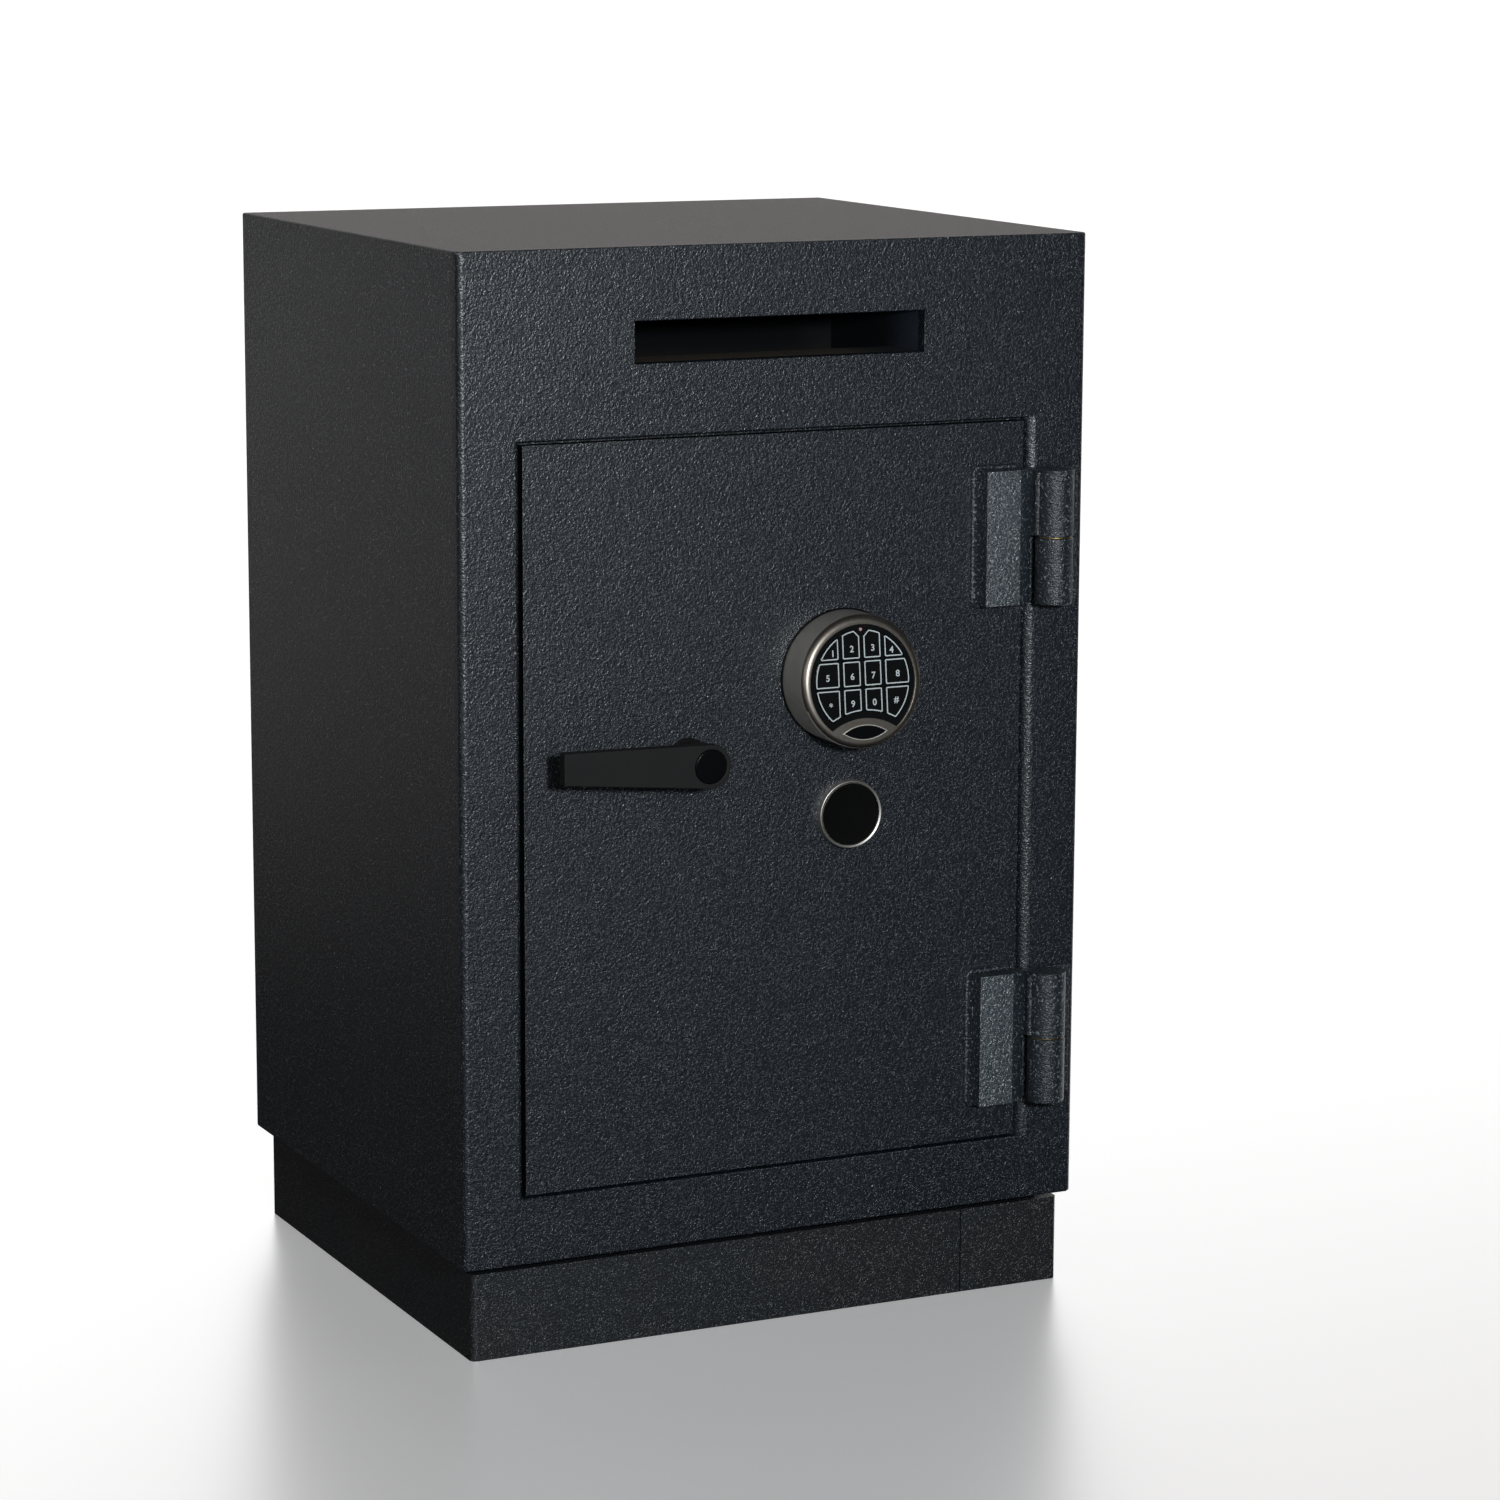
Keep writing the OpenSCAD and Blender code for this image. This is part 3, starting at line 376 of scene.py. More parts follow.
# The hinges' coat in a lighter copy, painted light on the leaves, and a darker copy, painted shade on
# knuckles, left faces and beads.
hinge_light_paint = structured_paint("hinge_light_paint", shade(50, 58, 63), shade(56, 63, 69),
                               grain=2.2, depth=2.4, rough=0.33, shine=0.9, painted_glint=1.0, speck=2.6)
hinge_shade_paint = structured_paint("hinge_shade_paint", shade(20, 28, 34), shade(24, 32, 38),
                                 grain=2.0, depth=1.1, rough=0.38, shine=0.5, painted_glint=0.5, speck=1.8)
# Black for the plinth's seam, and painted shade on the door's narrow sides in its gap.
seam_and_gap_shade_black = structured_paint("seam_and_gap_shade_black", shade(5, 6, 7), shade(6, 7, 8),
                              grain=2.6, depth=0.1, rough=0.6, shine=0.1)
inner_paint = structured_paint("inner_paint", shade(40, 43, 46), shade(44, 46, 48),
                               grain=2.4, depth=0.3, rough=0.5, shine=0.5)
print("paints mixed, finishes so far:", len(bpy.data.materials))

# %% [markdown]
# ## Metals and plastics
# The keypad's housing and the ring round the key lock are brushed and nickel plated, with the
# warm tint that a thin satin lacquer gives. The lever is dull black die casting. The locking
# bolts, the posts, the spindle and the key lock are ground bright, the rest of the boltwork is
# zinc plated, and brass is used where steel would rub on steel: the hinges' washers, the
# handle's bush and the lock's bolt.

# %% Metals
def brushed_metal(name, colour, rough, across, along, depth, metallic=1.0, warm=None):
    """Metal with fine scratches; across and along are how the noise is squeezed on X, Y and Z."""
    finish, place = new_finish(name)
    lines = finish.node("Mapping", None, {"Vector": place, "Scale": across})
    scratch = finish.grain(along, lines, 3)
    soft = finish.grain(14, place, 2)
    tone = finish.blend(finish.fade(soft, 0.3, 0.7), colour, warm or scaled(colour, 0.85))
    return finish.close(Base_Color=tone, Metallic=metallic, Roughness=rough + 0.14 * scratch,
                        Normal=finish.bump(scratch, depth))


satin = brushed_metal("satin_nickel", (0.30, 0.29, 0.27, 1), 0.26, (0.2, 6, 0.2), 1.2, 0.002,
                      metallic=0.6, warm=(0.27, 0.26, 0.24, 1))
# The keypad's front in a darker, browner copy of the satin: painted shade.
shaded_front_satin = brushed_metal("satin_shaded_front", (0.28, 0.255, 0.225, 1), 0.33, (1, 1, 1), 2.0, 0.002,
                            warm=(0.28, 0.25, 0.215, 1))
ring_metal = brushed_metal("satin_ring", (0.55, 0.53, 0.5, 1), 0.38, (1, 1, 1), 1.2, 0.002)
# Near white satin for the badge's rim: a painted highlight.
rim_highlight_metal = brushed_metal("satin_highlight_rim", (0.80, 0.76, 0.70, 1), 0.45, (0.5, 1, 6), 1.2, 0.012)
bright_steel = brushed_metal("ground_steel", (0.62, 0.62, 0.61, 1), 0.22, (6, 1, 1), 1.0, 0.01)
zinc = brushed_metal("plated_steel", (0.55, 0.56, 0.57, 1), 0.34, (1, 1, 1), 2.0, 0.02)
brass = brushed_metal("brass", (0.56, 0.40, 0.17, 1), 0.28, (1, 1, 4), 1.0, 0.01)
print("metals done, finishes so far:", len(bpy.data.materials))

# %% [markdown]
# ## The chute's paint
# Through the slot the eye meets the chute, whose paints carry painted light and shade: a hood
# painted nearly black as shade and a little lighter at its right end, a sill painted pale brown
# where light falls on it and bluish towards its right end, and a cheek painted lit near the
# slot and darker, as shade, with its depth. So each of the three has a paint that changes along
# one axis. All turn a bluish dark grey towards the slot's head, which paints light on the hood's
# dark head, and a painted brown reflection makes the lower part of the hood a little browner.

# %% Paint that changes with its place
# Towards the slot's head the chute's paints turn bluish grey: painted light on the hood.
HEAD_LOW = 728
HEAD_HIGH = 748
HEAD_LIGHT_TONE = shade(34, 37, 43)
# A browner tone low on the hood: a painted reflection.
SHEEN_TONE = shade(44, 41, 38)
STEP_AFTER = 10
SHEEN_STEP = 16


def chute_paint(name, near_colour, far_colour, axis, low, high, shine, dust_and_sheen=0.0, sheen_top=720):
    """Smooth paint that changes from low to high on an axis, with a painted sheen below a height, in mm.
    """
    finish, place = new_finish(name)
    along = finish.node("SeparateXYZ", None, {"Vector": place}, "XYZ".index(axis))
    up = finish.node("SeparateXYZ", None, {"Vector": place}, 2)
    smear = finish.grain(30, place, 2)
    far = finish.fade(along + 0.02 * smear, mm(low + STEP_AFTER), mm(high + STEP_AFTER))
    tone = finish.blend(far, near_colour, far_colour)
    # Below a height the tone is painted browner: a painted reflection.
    painted_sheen = dust_and_sheen - dust_and_sheen * finish.fade(up + 0.01 * smear, mm(sheen_top), mm(sheen_top + SHEEN_STEP))
    # Towards the slot's head the tone turns bluish grey: painted light.
    tone = finish.blend(0.7 * finish.fade(up, mm(HEAD_LOW), mm(HEAD_HIGH)), tone, HEAD_LIGHT_TONE)
    tone = finish.blend(painted_sheen, tone, SHEEN_TONE)
    return finish.close(Base_Color=tone, Roughness=0.4 + 0.1 * smear, Specular_IOR_Level=shine)


# Hood painted nearly black as shade, the sill pale where light falls, the cheek lit near the slot and
# shaded further in.
hood_shade_paint = chute_paint("chute_hood", shade(6, 7, 9), shade(14, 15, 16), "X", 80, 110, 0.07,
                         dust_and_sheen=0.15, sheen_top=706)
sill_light_paint = chute_paint("chute_lit_sill", shade(78, 73, 66), shade(44, 47, 52), "X", 60, 100, 0.2)
cheek_light_shade_paint = chute_paint("chute_lit_shaded_cheek", shade(40, 47, 56), shade(17, 19, 23), "Y", -205, -150, 0.2)
print("chute paints done")

# %% Plain coatings and plastics
def cast_black(name, colour, rough, grain, depth, shine=0.3):
    """Dull black: a fine grain, with dust that makes it a little paler in clouds."""
    finish, place = new_finish(name)
    grit = finish.grain(grain, place, 2)
    dust_and_sheen = finish.fade(finish.grain(30, place, 4), 0.3, 0.8)
    tone = finish.blend(0.5 * dust_and_sheen, colour, scaled(colour, 1.35))
    return finish.close(Base_Color=tone, Roughness=rough + 0.1 * grit, Specular_IOR_Level=shine,
                        Normal=finish.bump(grit, depth))


lever_black = cast_black("cast_black", shade(22, 22, 22), 0.5, 0.7, 0.03, 0.15)
cap_black = cast_black("moulded_black", shade(5, 6, 7), 0.24, 0.5, 0.01, 0.15)
cover_black = cast_black("cover_black", shade(8, 8, 8), 0.24, 0.6, 0.01, 0.2)
key_black = cast_black("key_black", shade(9, 10, 11), 0.2, 0.5, 0.01, 0.3)
print_white = cast_black("print_white", shade(150, 158, 160), 0.6, 0.4, 0.004)
board_green = cast_black("circuit_board", shade(24, 78, 46), 0.4, 2.0, 0.03)
battery_shell = cast_black("battery_shell", shade(120, 122, 126), 0.45, 1.0, 0.01)


def concrete():
    """The fill of walls and door: cement with aggregate."""
    finish, place = new_finish("barrier_fill")
    stones = finish.grain(9, place, 2, "Voronoi")
    sand = finish.grain(1.5, place, 4)
    stops = (0.3, shade(120, 118, 112)), (0.7, shade(160, 157, 150))
    tone = finish.node("ValToRGB", {"stops": stops}, {"Fac": 0.6 * sand + 0.4 * stones})
    return finish.close(Base_Color=tone, Roughness=0.9, Normal=finish.bump(sand + stones, 0.5))


def lamp_lens():
    """The red lens of the keypad's lamp, unlit."""
    finish, place = new_finish("led_lens")
    haze = finish.grain(0.6, place, 1)
    tone = finish.blend(haze, shade(170, 160, 158), shade(120, 60, 52))
    return finish.close(Base_Color=tone, Roughness=0.2, Coat_Weight=0.5 * haze)


stone = concrete()
lens_red = lamp_lens()
print("finishes:", len(bpy.data.materials))

# %% [markdown]
# ## Helpers that make pieces
# A piece is finished in one place: doubles merged, faces turned outwards, shading smoothed up
# to a given angle, and the piece put on the CAD body that carries it. Large flat faces beside
# narrow bevels would shade unevenly, so a Weighted Normal modifier lets the flats win.

# %% Finish a piece
BODIES = frame["record"]["behaviour"]["bodies"]
NODE_BODY = {node: body for body, nodes in BODIES.items() for node in nodes}


def finish_piece(bm, name, like, finishes, stands=True, crease=38):
    """Makes an object that rides with the CAD node called like and, as a rule, stands for it."""
    bmesh.ops.remove_doubles(bm, verts=bm.verts, dist=mm(0.002))
    bmesh.ops.recalc_face_normals(bm, faces=bm.faces)
    mesh = bpy.data.meshes.new(name)
    bm.to_mesh(mesh)
    bm.free()
    mesh.shade_smooth()
    mesh.set_sharp_from_angle(angle=math.radians(crease))
    for finish in finishes:
        mesh.materials.append(finish)
    piece = bpy.data.objects.new(name, mesh)
    scene.collection.objects.link(piece)
    even = piece.modifiers.new("even_shading", "WEIGHTED_NORMAL")
    even.keep_sharp = True
    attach(piece, NODE_BODY[like])
    if stands:
        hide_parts(like)
    print(name, "has", len(mesh.polygons), "faces")
    return piece


def round_edges(bm, edges, radius, segments=3):
    """Rounds edges by that radius in millimetres."""
    edges = list(edges)
    bm.normal_update()
    if edges:
        bmesh.ops.bevel(bm, geom=edges, offset=mm(radius), segments=segments, profile=0.5,
                        affect="EDGES", clamp_overlap=True, material=-1)


def near(value, goal):
    """Whether two lengths in metres are the same to a twentieth of a millimetre."""
    return abs(value - goal) < mm(0.05)


def lies_at(edge, axis, *places):
    """Whether both ends of an edge are at the same one of these places on an axis, in mm."""
    return any(all(near(v.co[axis], mm(place)) for v in edge.verts) for place in places)


print("nodes that ride on a body:", len(NODE_BODY))

# %% [markdown]
# ## Softened copies
# Most of the boltwork is right as it is, but a machined edge is never knife sharp. For such a
# part the CAD mesh is copied, its loose triangles are merged into clean faces, and the outer
# edges are rounded by a few tenths. Where a piece wears two paints, its faces are chosen by
# their direction and place.

# %% A softened copy of a CAD node
def node_bm(node):
    """A CAD node's mesh with its loose triangles merged into whole faces."""
    bm = bmesh.new()
    bm.from_mesh(frame["nodes"][node].data)
    bmesh.ops.remove_doubles(bm, verts=bm.verts, dist=mm(0.004))
    bmesh.ops.dissolve_limit(bm, angle_limit=math.radians(0.6), verts=bm.verts, edges=bm.edges)
    return bm


def softened(node, finish, radius, segments=2, pick=None, crease=38):
    """A copy of a CAD node whose sharp outer edges are rounded; it stands for the node."""
    bm = node_bm(node)
    sharp = [e for e in bm.edges if len(e.link_faces) == 2 and e.is_convex
             and e.calc_face_angle() > math.radians(33)]
    round_edges(bm, [e for e in sharp if pick is None or pick(e)], radius, segments)
    return finish_piece(bm, node + "_soft", node, [finish], crease=crease)


def paint_faces(piece, finish, pick):
    """Gives one more finish to the faces that pick chooses."""
    piece.data.materials.append(finish)
    for face in piece.data.polygons:
        if pick(face):
            face.material_index = len(piece.data.materials) - 1


print("nodes to choose from:", len(frame["nodes"]))

# %% [markdown]
# ## The front frame
# The real front is one bent and welded frame: a thick plate with rounded upright edges, the
# door's opening with rounded lips, a ledge behind the door plate, and a narrower throat
# that reads as a deep dark slot when the door is open. Seen from the front, each stage of it
# is a rectangle, so it is drawn as a chain of rectangular hoops: each hoop is extruded from
# the last one and its corners are set. The last hoop meets the first, which closes the ring.

# %% Hoops
def hoop(bm, lo, hi, y, last=None):
    """A rectangle seen from the front, extruded from the last hoop if there is one."""
    if last is None:
        corners = [bm.verts.new(at(x, y, z))
                   for x, z in ((lo[0], lo[1]), (hi[0], lo[1]), (hi[0], hi[1]), (lo[0], hi[1]))]
        return [bm.edges.new((corners[i - 1], corners[i])) for i in range(4)]
    made = bmesh.ops.extrude_edge_only(bm, edges=last)["geom"]
    corners = [v for v in made if isinstance(v, bmesh.types.BMVert)]
    middle = sum((v.co for v in corners), Vector()) / len(corners)
    for v in corners:
        x = hi[0] if v.co.x > middle.x else lo[0]
        z = hi[1] if v.co.z > middle.z else lo[1]
        v.co = at(x, y, z)
    return [e for e in made if isinstance(e, bmesh.types.BMEdge)
            and all(v in corners for v in e.verts)]


def facing(bm, point, normal):
    """The face that holds a point given in millimetres and looks along normal."""
    spot = at(*point)
    for face in bm.faces:
        off = abs((spot - face.verts[0].co).dot(face.normal))
        if face.normal.dot(Vector(normal)) > 0.99 and off < 1e-5:
            if bmesh.geometry.intersect_face_point(face, spot):
                return face
    raise ValueError("no face at " + str(point))


def window(bm, face, lo, hi):
    """Cuts a rectangle out of an upright face and returns the new face in it."""
    bmesh.ops.inset_individual(bm, faces=[face], thickness=mm(0.5))
    middle = face.calc_center_median()
    for v in face.verts:
        v.co.x = mm(hi[0] if v.co.x > middle.x else lo[0])
        v.co.z = mm(hi[1] if v.co.z > middle.z else lo[1])
    return face


def tunnel(bm, front, back, lo, hi):
    """A rectangular hole from one face to the one behind it."""
    edges = []
    for face in (front, back):
        cut = window(bm, face, lo, hi)
        edges += list(cut.edges)
        bmesh.ops.delete(bm, geom=[cut], context="FACES_ONLY")
    bmesh.ops.bridge_loops(bm, edges=edges)


# %% The frame's sizes, from the CAD nodes
def flat(node):
    """A node's box seen from the front: lowest and highest X and Z, in millimetres."""
    lo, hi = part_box(node)
    return (lo.x * 1000, lo.z * 1000), (hi.x * 1000, hi.z * 1000)


def wider(box, by):
    """The same box, larger by that much on all four sides."""
    return (box[0][0] - by, box[0][1] - by), (box[1][0] + by, box[1][1] + by)


DOOR_GAP = 2.4
LEDGE_LAP = 11.5
JAMB = 5
FACE_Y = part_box("front_frame")[0].y * 1000
FRONT_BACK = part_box("outer_shell")[0].y * 1000
JAMB_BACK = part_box("front_frame")[1].y * 1000
LEDGE_Y = FRONT_BACK + 0.7
BODY = flat("front_frame")
OPENING = wider(flat("door_plate"), DOOR_GAP)
THROAT = wider(flat("door_plate"), -LEDGE_LAP)
CAVITY = flat("inner_liner")
CHUTE_WALL = 2
SLOT_HEIGHT = 30
SLOT_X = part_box("deposit_chute")[1].x * 1000 - CHUTE_WALL
SLOT_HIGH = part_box("deposit_chute")[1].z * 1000 - CHUTE_WALL
SLOT = ((-SLOT_X, SLOT_HIGH - SLOT_HEIGHT), (SLOT_X, SLOT_HIGH))
print("opening", OPENING, "slot", SLOT)

# %% The opening's rounded lip
LIP_LOW = (3.5, 1.3)
LIP_HIGH = (10, 1.6)
LIP_DEPTHS = (0, 0.15, 0.5, 1.1, 2.0, 3.1, 4.4, 6.2, 8.0, 10.0)


def lip(depth):
    """The opening at that depth: its right side is rounded well, the other three a little."""
    def back(r):
        return r - math.sqrt(r * r - (r - depth) ** 2) if depth < r else 0
    return (tuple(v - back(r) for v, r in zip(OPENING[0], LIP_LOW)),
            tuple(v + back(r) for v, r in zip(OPENING[1], LIP_HIGH)))


print("the lip is widest at the front:", lip(0))

# %% Build the frame
bm = bmesh.new()
last = hoop(bm, *BODY, FACE_Y)
stages = [(lip(depth), FACE_Y + depth) for depth in LIP_DEPTHS]
stages += [(OPENING, LEDGE_Y), (THROAT, LEDGE_Y), (THROAT, JAMB_BACK),
           (CAVITY, JAMB_BACK), (CAVITY, JAMB_BACK - JAMB), (wider(THROAT, JAMB), JAMB_BACK - JAMB),
           (wider(THROAT, JAMB), LEDGE_Y + JAMB), (wider(OPENING, JAMB), LEDGE_Y + JAMB),
           (wider(OPENING, JAMB), FRONT_BACK), (BODY, FRONT_BACK), (BODY, FACE_Y)]
for box, y in stages:
    last = hoop(bm, *box, y, last)
bmesh.ops.remove_doubles(bm, verts=bm.verts, dist=mm(0.01))
bmesh.ops.recalc_face_normals(bm, faces=bm.faces)
slot_middle = (SLOT[0][1] + SLOT[1][1]) / 2
tunnel(bm, facing(bm, (0, FACE_Y, slot_middle), (0, -1, 0)),
       facing(bm, (0, FRONT_BACK, slot_middle), (0, 1, 0)), *SLOT)
passage = wider(SLOT, CHUTE_WALL)
tunnel(bm, facing(bm, (0, JAMB_BACK - JAMB, slot_middle), (0, -1, 0)),
       facing(bm, (0, JAMB_BACK, slot_middle), (0, 1, 0)), *passage)
print("hoops:", len(stages) + 1)

# %% Round its edges
UPRIGHT_ROUND = 5
SMALL_ROUND = 1.5
SLOT_ROUND = 0.8
THROAT_ROUND = 1.2


def on_box(edge, box, y):
    """Whether an edge lies on a rectangle's outline at that depth."""
    for v in edge.verts:
        inside = (box[0][0] - 0.1 < v.co.x * 1000 < box[1][0] + 0.1
                  and box[0][1] - 0.1 < v.co.z * 1000 < box[1][1] + 0.1)
        if not (near(v.co.y, mm(y)) and inside):
            return False
    middle = (edge.verts[0].co + edge.verts[1].co) * 500
    return any(abs(middle[axis] - box[side][i]) < 0.1
               for i, axis in enumerate((0, 2)) for side in (0, 1))


uprights = [e for e in bm.edges if on_box(e, BODY, FACE_Y)
            and abs(e.verts[0].co.z - e.verts[1].co.z) > mm(50)]
round_edges(bm, uprights, UPRIGHT_ROUND, 5)
round_edges(bm, [e for e in bm.edges if on_box(e, SLOT, FACE_Y)], SLOT_ROUND)
for y in (LEDGE_Y, JAMB_BACK):
    round_edges(bm, [e for e in bm.edges if on_box(e, THROAT, y)], THROAT_ROUND)
caps = [e for e in bm.edges if len(e.link_faces) == 2 and e.calc_face_angle() > 0.9
        and all(v.co.y < mm(FRONT_BACK + 0.1) for v in e.verts)
        and lies_at(e, 2, BODY[0][1], BODY[1][1]) and not lies_at(e, 1, FRONT_BACK)]
round_edges(bm, caps, SMALL_ROUND)
finish_piece(bm, "painted_front", "front_frame", [body_paint])

# %% [markdown]
# ## The skin behind it, the chute and the plinth
# The skin is a folded box: only its long outer edges and its rear edges are rounded, because
# its front rim meets the frame flush. The chute keeps its shape and wears its three paints.
# The plinth is a sheet bent round the front corners, and its two ends meet in an upright seam
# near the right, which is pushed in as a groove and painted black.

# %% Outer skin
BACK_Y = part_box("outer_shell")[1].y * 1000


def outer_long(edge):
    """An edge on the outside of the skin, other than its front rim and its holes."""
    ends = [v.co for v in edge.verts]
    side = [near(abs(p.x), mm(BODY[1][0])) for p in ends]
    back = [near(p.y, mm(BACK_Y)) for p in ends]
    level = [near(p.z, mm(BODY[0][1])) or near(p.z, mm(BODY[1][1])) for p in ends]
    outside = all(s or b for s, b in zip(side, back)) and all(level)
    return (outside and not lies_at(edge, 1, FRONT_BACK)) or all(side + back)


shell = softened("outer_shell", body_paint, SMALL_ROUND, 3, outer_long)
# The top gets the lighter copy of the coat: painted light.
paint_faces(shell, top_lit_paint, lambda face: face.normal.z > 0.9 and near(face.center.z, mm(BODY[1][1])))

# %% Chute: a sill painted lit, walls painted in shade
chute = softened("deposit_chute", hood_shade_paint, 0.3)
paint_faces(chute, sill_light_paint, lambda face: face.normal.z > 0.9)
paint_faces(chute, cheek_light_shade_paint, lambda face: abs(face.normal.x) > 0.7)

# %% Plinth with its seam
SEAM_X = 158
SEAM_W = 1.2
SEAM_DEPTH = 1.4
SEAM_END = 0.6
PLINTH_MIDDLE = 30
PLINTH_TOP = 65


def strip(bm, face, axis, places):
    """Cuts a face along one axis at each place, in millimetres."""
    normal = Vector([float(i == axis) for i in range(3)])
    faces = {face}
    for place in places:
        edges = {e for f in faces for e in f.edges}
        verts = {v for f in faces for v in f.verts}
        made = bmesh.ops.bisect_plane(bm, geom=list(faces) + list(edges) + list(verts),
                                      plane_co=normal * mm(place), plane_no=normal)["geom"]
        faces |= {f for f in made if isinstance(f, bmesh.types.BMFace)}
    return faces


bm = node_bm("plinth_frame")
plinth_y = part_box("plinth_frame")[0].y * 1000
plinth_front = facing(bm, (0, plinth_y, PLINTH_MIDDLE), (0, -1, 0))
pieces = strip(bm, plinth_front, 0, (SEAM_X - SEAM_W / 2, SEAM_X + SEAM_W / 2))
seam = [f for f in pieces if abs(f.calc_center_median().x * 1000 - SEAM_X) < SEAM_W]
pieces = strip(bm, seam[0], 2, (SEAM_END, PLINTH_TOP - SEAM_END))
seam = [f for f in pieces if 20 < f.calc_center_median().z * 1000 < 50]
groove = bmesh.ops.extrude_discrete_faces(bm, faces=seam)["faces"]
bmesh.ops.translate(bm, verts=groove[0].verts, vec=at(0, SEAM_DEPTH, 0))
for face in {f for v in groove[0].verts for f in v.link_faces}:
    face.material_index = 1
finish_piece(bm, "plinth_skin", "plinth_frame", [plinth_paint, seam_and_gap_shade_black])

# %% [markdown]
# ## Door and hinges
# The door plate is a plain slab whose front edges are just broken. Its narrow sides are painted
# black as shade, so that the gap round the door reads as a thin dark line. Each hinge is a bar
# welded to the door, with the upper half of the knuckle on the door and the lower half on the
# frame. The leaves wear a lighter coat, which paints light on them, and the knuckles, the left
# faces and the weld beads a darker one, which paints shade. A weld bead runs up the bar's left
# side and round its corners, and a short one fills the angle beside the upper knuckle. Both are
# swept along their path with a small ripple.

# %% Door plate and hinge leaves
LEAF_RIGHT = 189

door = softened("door_plate", body_paint, 0.6, 3, lambda edge: lies_at(edge, 1, FACE_Y))
# The plate's narrow sides are painted black: painted shade in the gap.
paint_faces(door, seam_and_gap_shade_black, lambda face: max(abs(face.normal.x), abs(face.normal.z)) > 0.95)
for name in ("hinge_door_leaves", "hinge_frame_leaves"):
    leaf = softened(name, hinge_light_paint, 1.2, 3)
    # Knuckles and faces that look left get the darker copy: painted shade.
    paint_faces(leaf, hinge_shade_paint,
                lambda face: face.center.x > mm(LEAF_RIGHT) or face.normal.x < -0.5)
softened("hinge_pins", zinc, 0.8)
softened("hinge_washers", brass, 0.2, 1)

# %% Weld beads
def sweep(bm, path, radius, segments=10):
    """A closed tube through the points of a path; radius(i) is its radius at point i."""
    rings = []
    for i, point in enumerate(path):
        along = (path[min(i + 1, len(path) - 1)] - path[max(i - 1, 0)]).normalized()
        frame_at = along.to_track_quat("Z", "Y").to_matrix().to_4x4()
        frame_at.translation = point
        ring = bmesh.ops.create_circle(bm, cap_ends=i in (0, len(path) - 1), segments=segments,
                                       radius=radius(i), matrix=frame_at)["verts"]
        rings.append({e for v in ring for e in v.link_edges})
    for first, second in zip(rings, rings[1:]):
        bmesh.ops.bridge_loops(bm, edges=list(first | second))


LEAF_X = 160
HINGE_H = 100
BEAD_R = 2.1
BEAD_OUT = 3.2
BEAD_DROP = 1.2
BEAD_SINK = 0.2
BEAD_STEP = 1.1
CORNER_R = 5
CORNER_STEPS = 6
FOOT_END = 31.4
FOOT_STEP = 1.6
FOOT_COUNT = 21


def bead_path(leaf_x, low, high):
    """Up the left side of a leaf, with its corners and a part of its foot and head."""
    side = leaf_x - BEAD_OUT
    foot = low - BEAD_DROP
    points = [(leaf_x + FOOT_END - k * FOOT_STEP, foot) for k in range(FOOT_COUNT)]
    for k in range(1, CORNER_STEPS):
        turn_by = math.pi / 2 * k / CORNER_STEPS
        points.append((side + CORNER_R * (1 - math.sin(turn_by)) - BEAD_SINK,
                       foot + CORNER_R * (1 - math.cos(turn_by))))
    mirrored = [(x, low + high - z) for x, z in points]
    straight = high - low - 2 * CORNER_R
    steps = int(straight / BEAD_STEP)
    for k in range(steps + 1):
        points.append((side, foot + CORNER_R + k * (straight + 2 * BEAD_DROP) / steps))
    return [at(x, FACE_Y - BEAD_SINK, z) for x, z in points + mirrored[::-1]]


def ripple(radius, wave, small_wave, swell, small_swell):
    """The radius of a bead at its points, which swells and shrinks in two waves."""
    return lambda i: mm(radius * (1 + swell * math.sin(wave * i) + small_swell * math.sin(small_wave * i)))


print("points on a bead:", len(bead_path(LEAF_X, 0, HINGE_H)))

# %% Weld the hinges on
KNUCKLE_X = 202.5
KNUCKLE_Y = FACE_Y - 16
KNUCKLE_BEAD = 2.9
SEAT_LOW = HINGE_H / 2 + 2
SEAT_STEP = 1.5
SEAT_COUNT = 32

bm = bmesh.new()
leaf_lo, leaf_hi = flat("hinge_door_leaves")
for low in (leaf_lo[1], leaf_hi[1] - HINGE_H):
    sweep(bm, bead_path(LEAF_X, low, low + HINGE_H), ripple(BEAD_R, 2.1, 5.3, 0.07, 0.04))
    seat = [at(KNUCKLE_X, KNUCKLE_Y, low + SEAT_LOW + k * SEAT_STEP) for k in range(SEAT_COUNT)]
    sweep(bm, seat, ripple(KNUCKLE_BEAD, 2.3, 5.1, 0.05, 0.03))
# The beads wear the darker copy of the hinge coat: painted shade.
finish_piece(bm, "weld_beads", "hinge_door_leaves", [hinge_shade_paint], stands=False, crease=70)

# %% [markdown]
# ## Lever and key lock
# Round parts are turned on a lathe, and a lathe is what Spin is: half a section, a few points
# long, goes once round the axis. All of them sit on the door, so one helper turns a section
# round an axis along Y and counts its height from the door's face. The cap in the lever's end,
# the ring and the cover of the key lock are made so, and the lever is a softened CAD copy.

# %% A lathe
def turned(section, axis_x, axis_z, steps=72):
    """Spins a section of (radius, height above the door) round an axis along Y."""
    bm = bmesh.new()
    points = [bm.verts.new(at(axis_x + r, FACE_Y - height, axis_z)) for r, height in section]
    edges = [bm.edges.new(pair) for pair in zip(points, points[1:])]
    bmesh.ops.spin(bm, geom=points + edges, cent=at(axis_x, FACE_Y, axis_z), axis=(0, 1, 0),
                   angle=2 * math.pi, steps=steps, use_merge=True)
    return bm


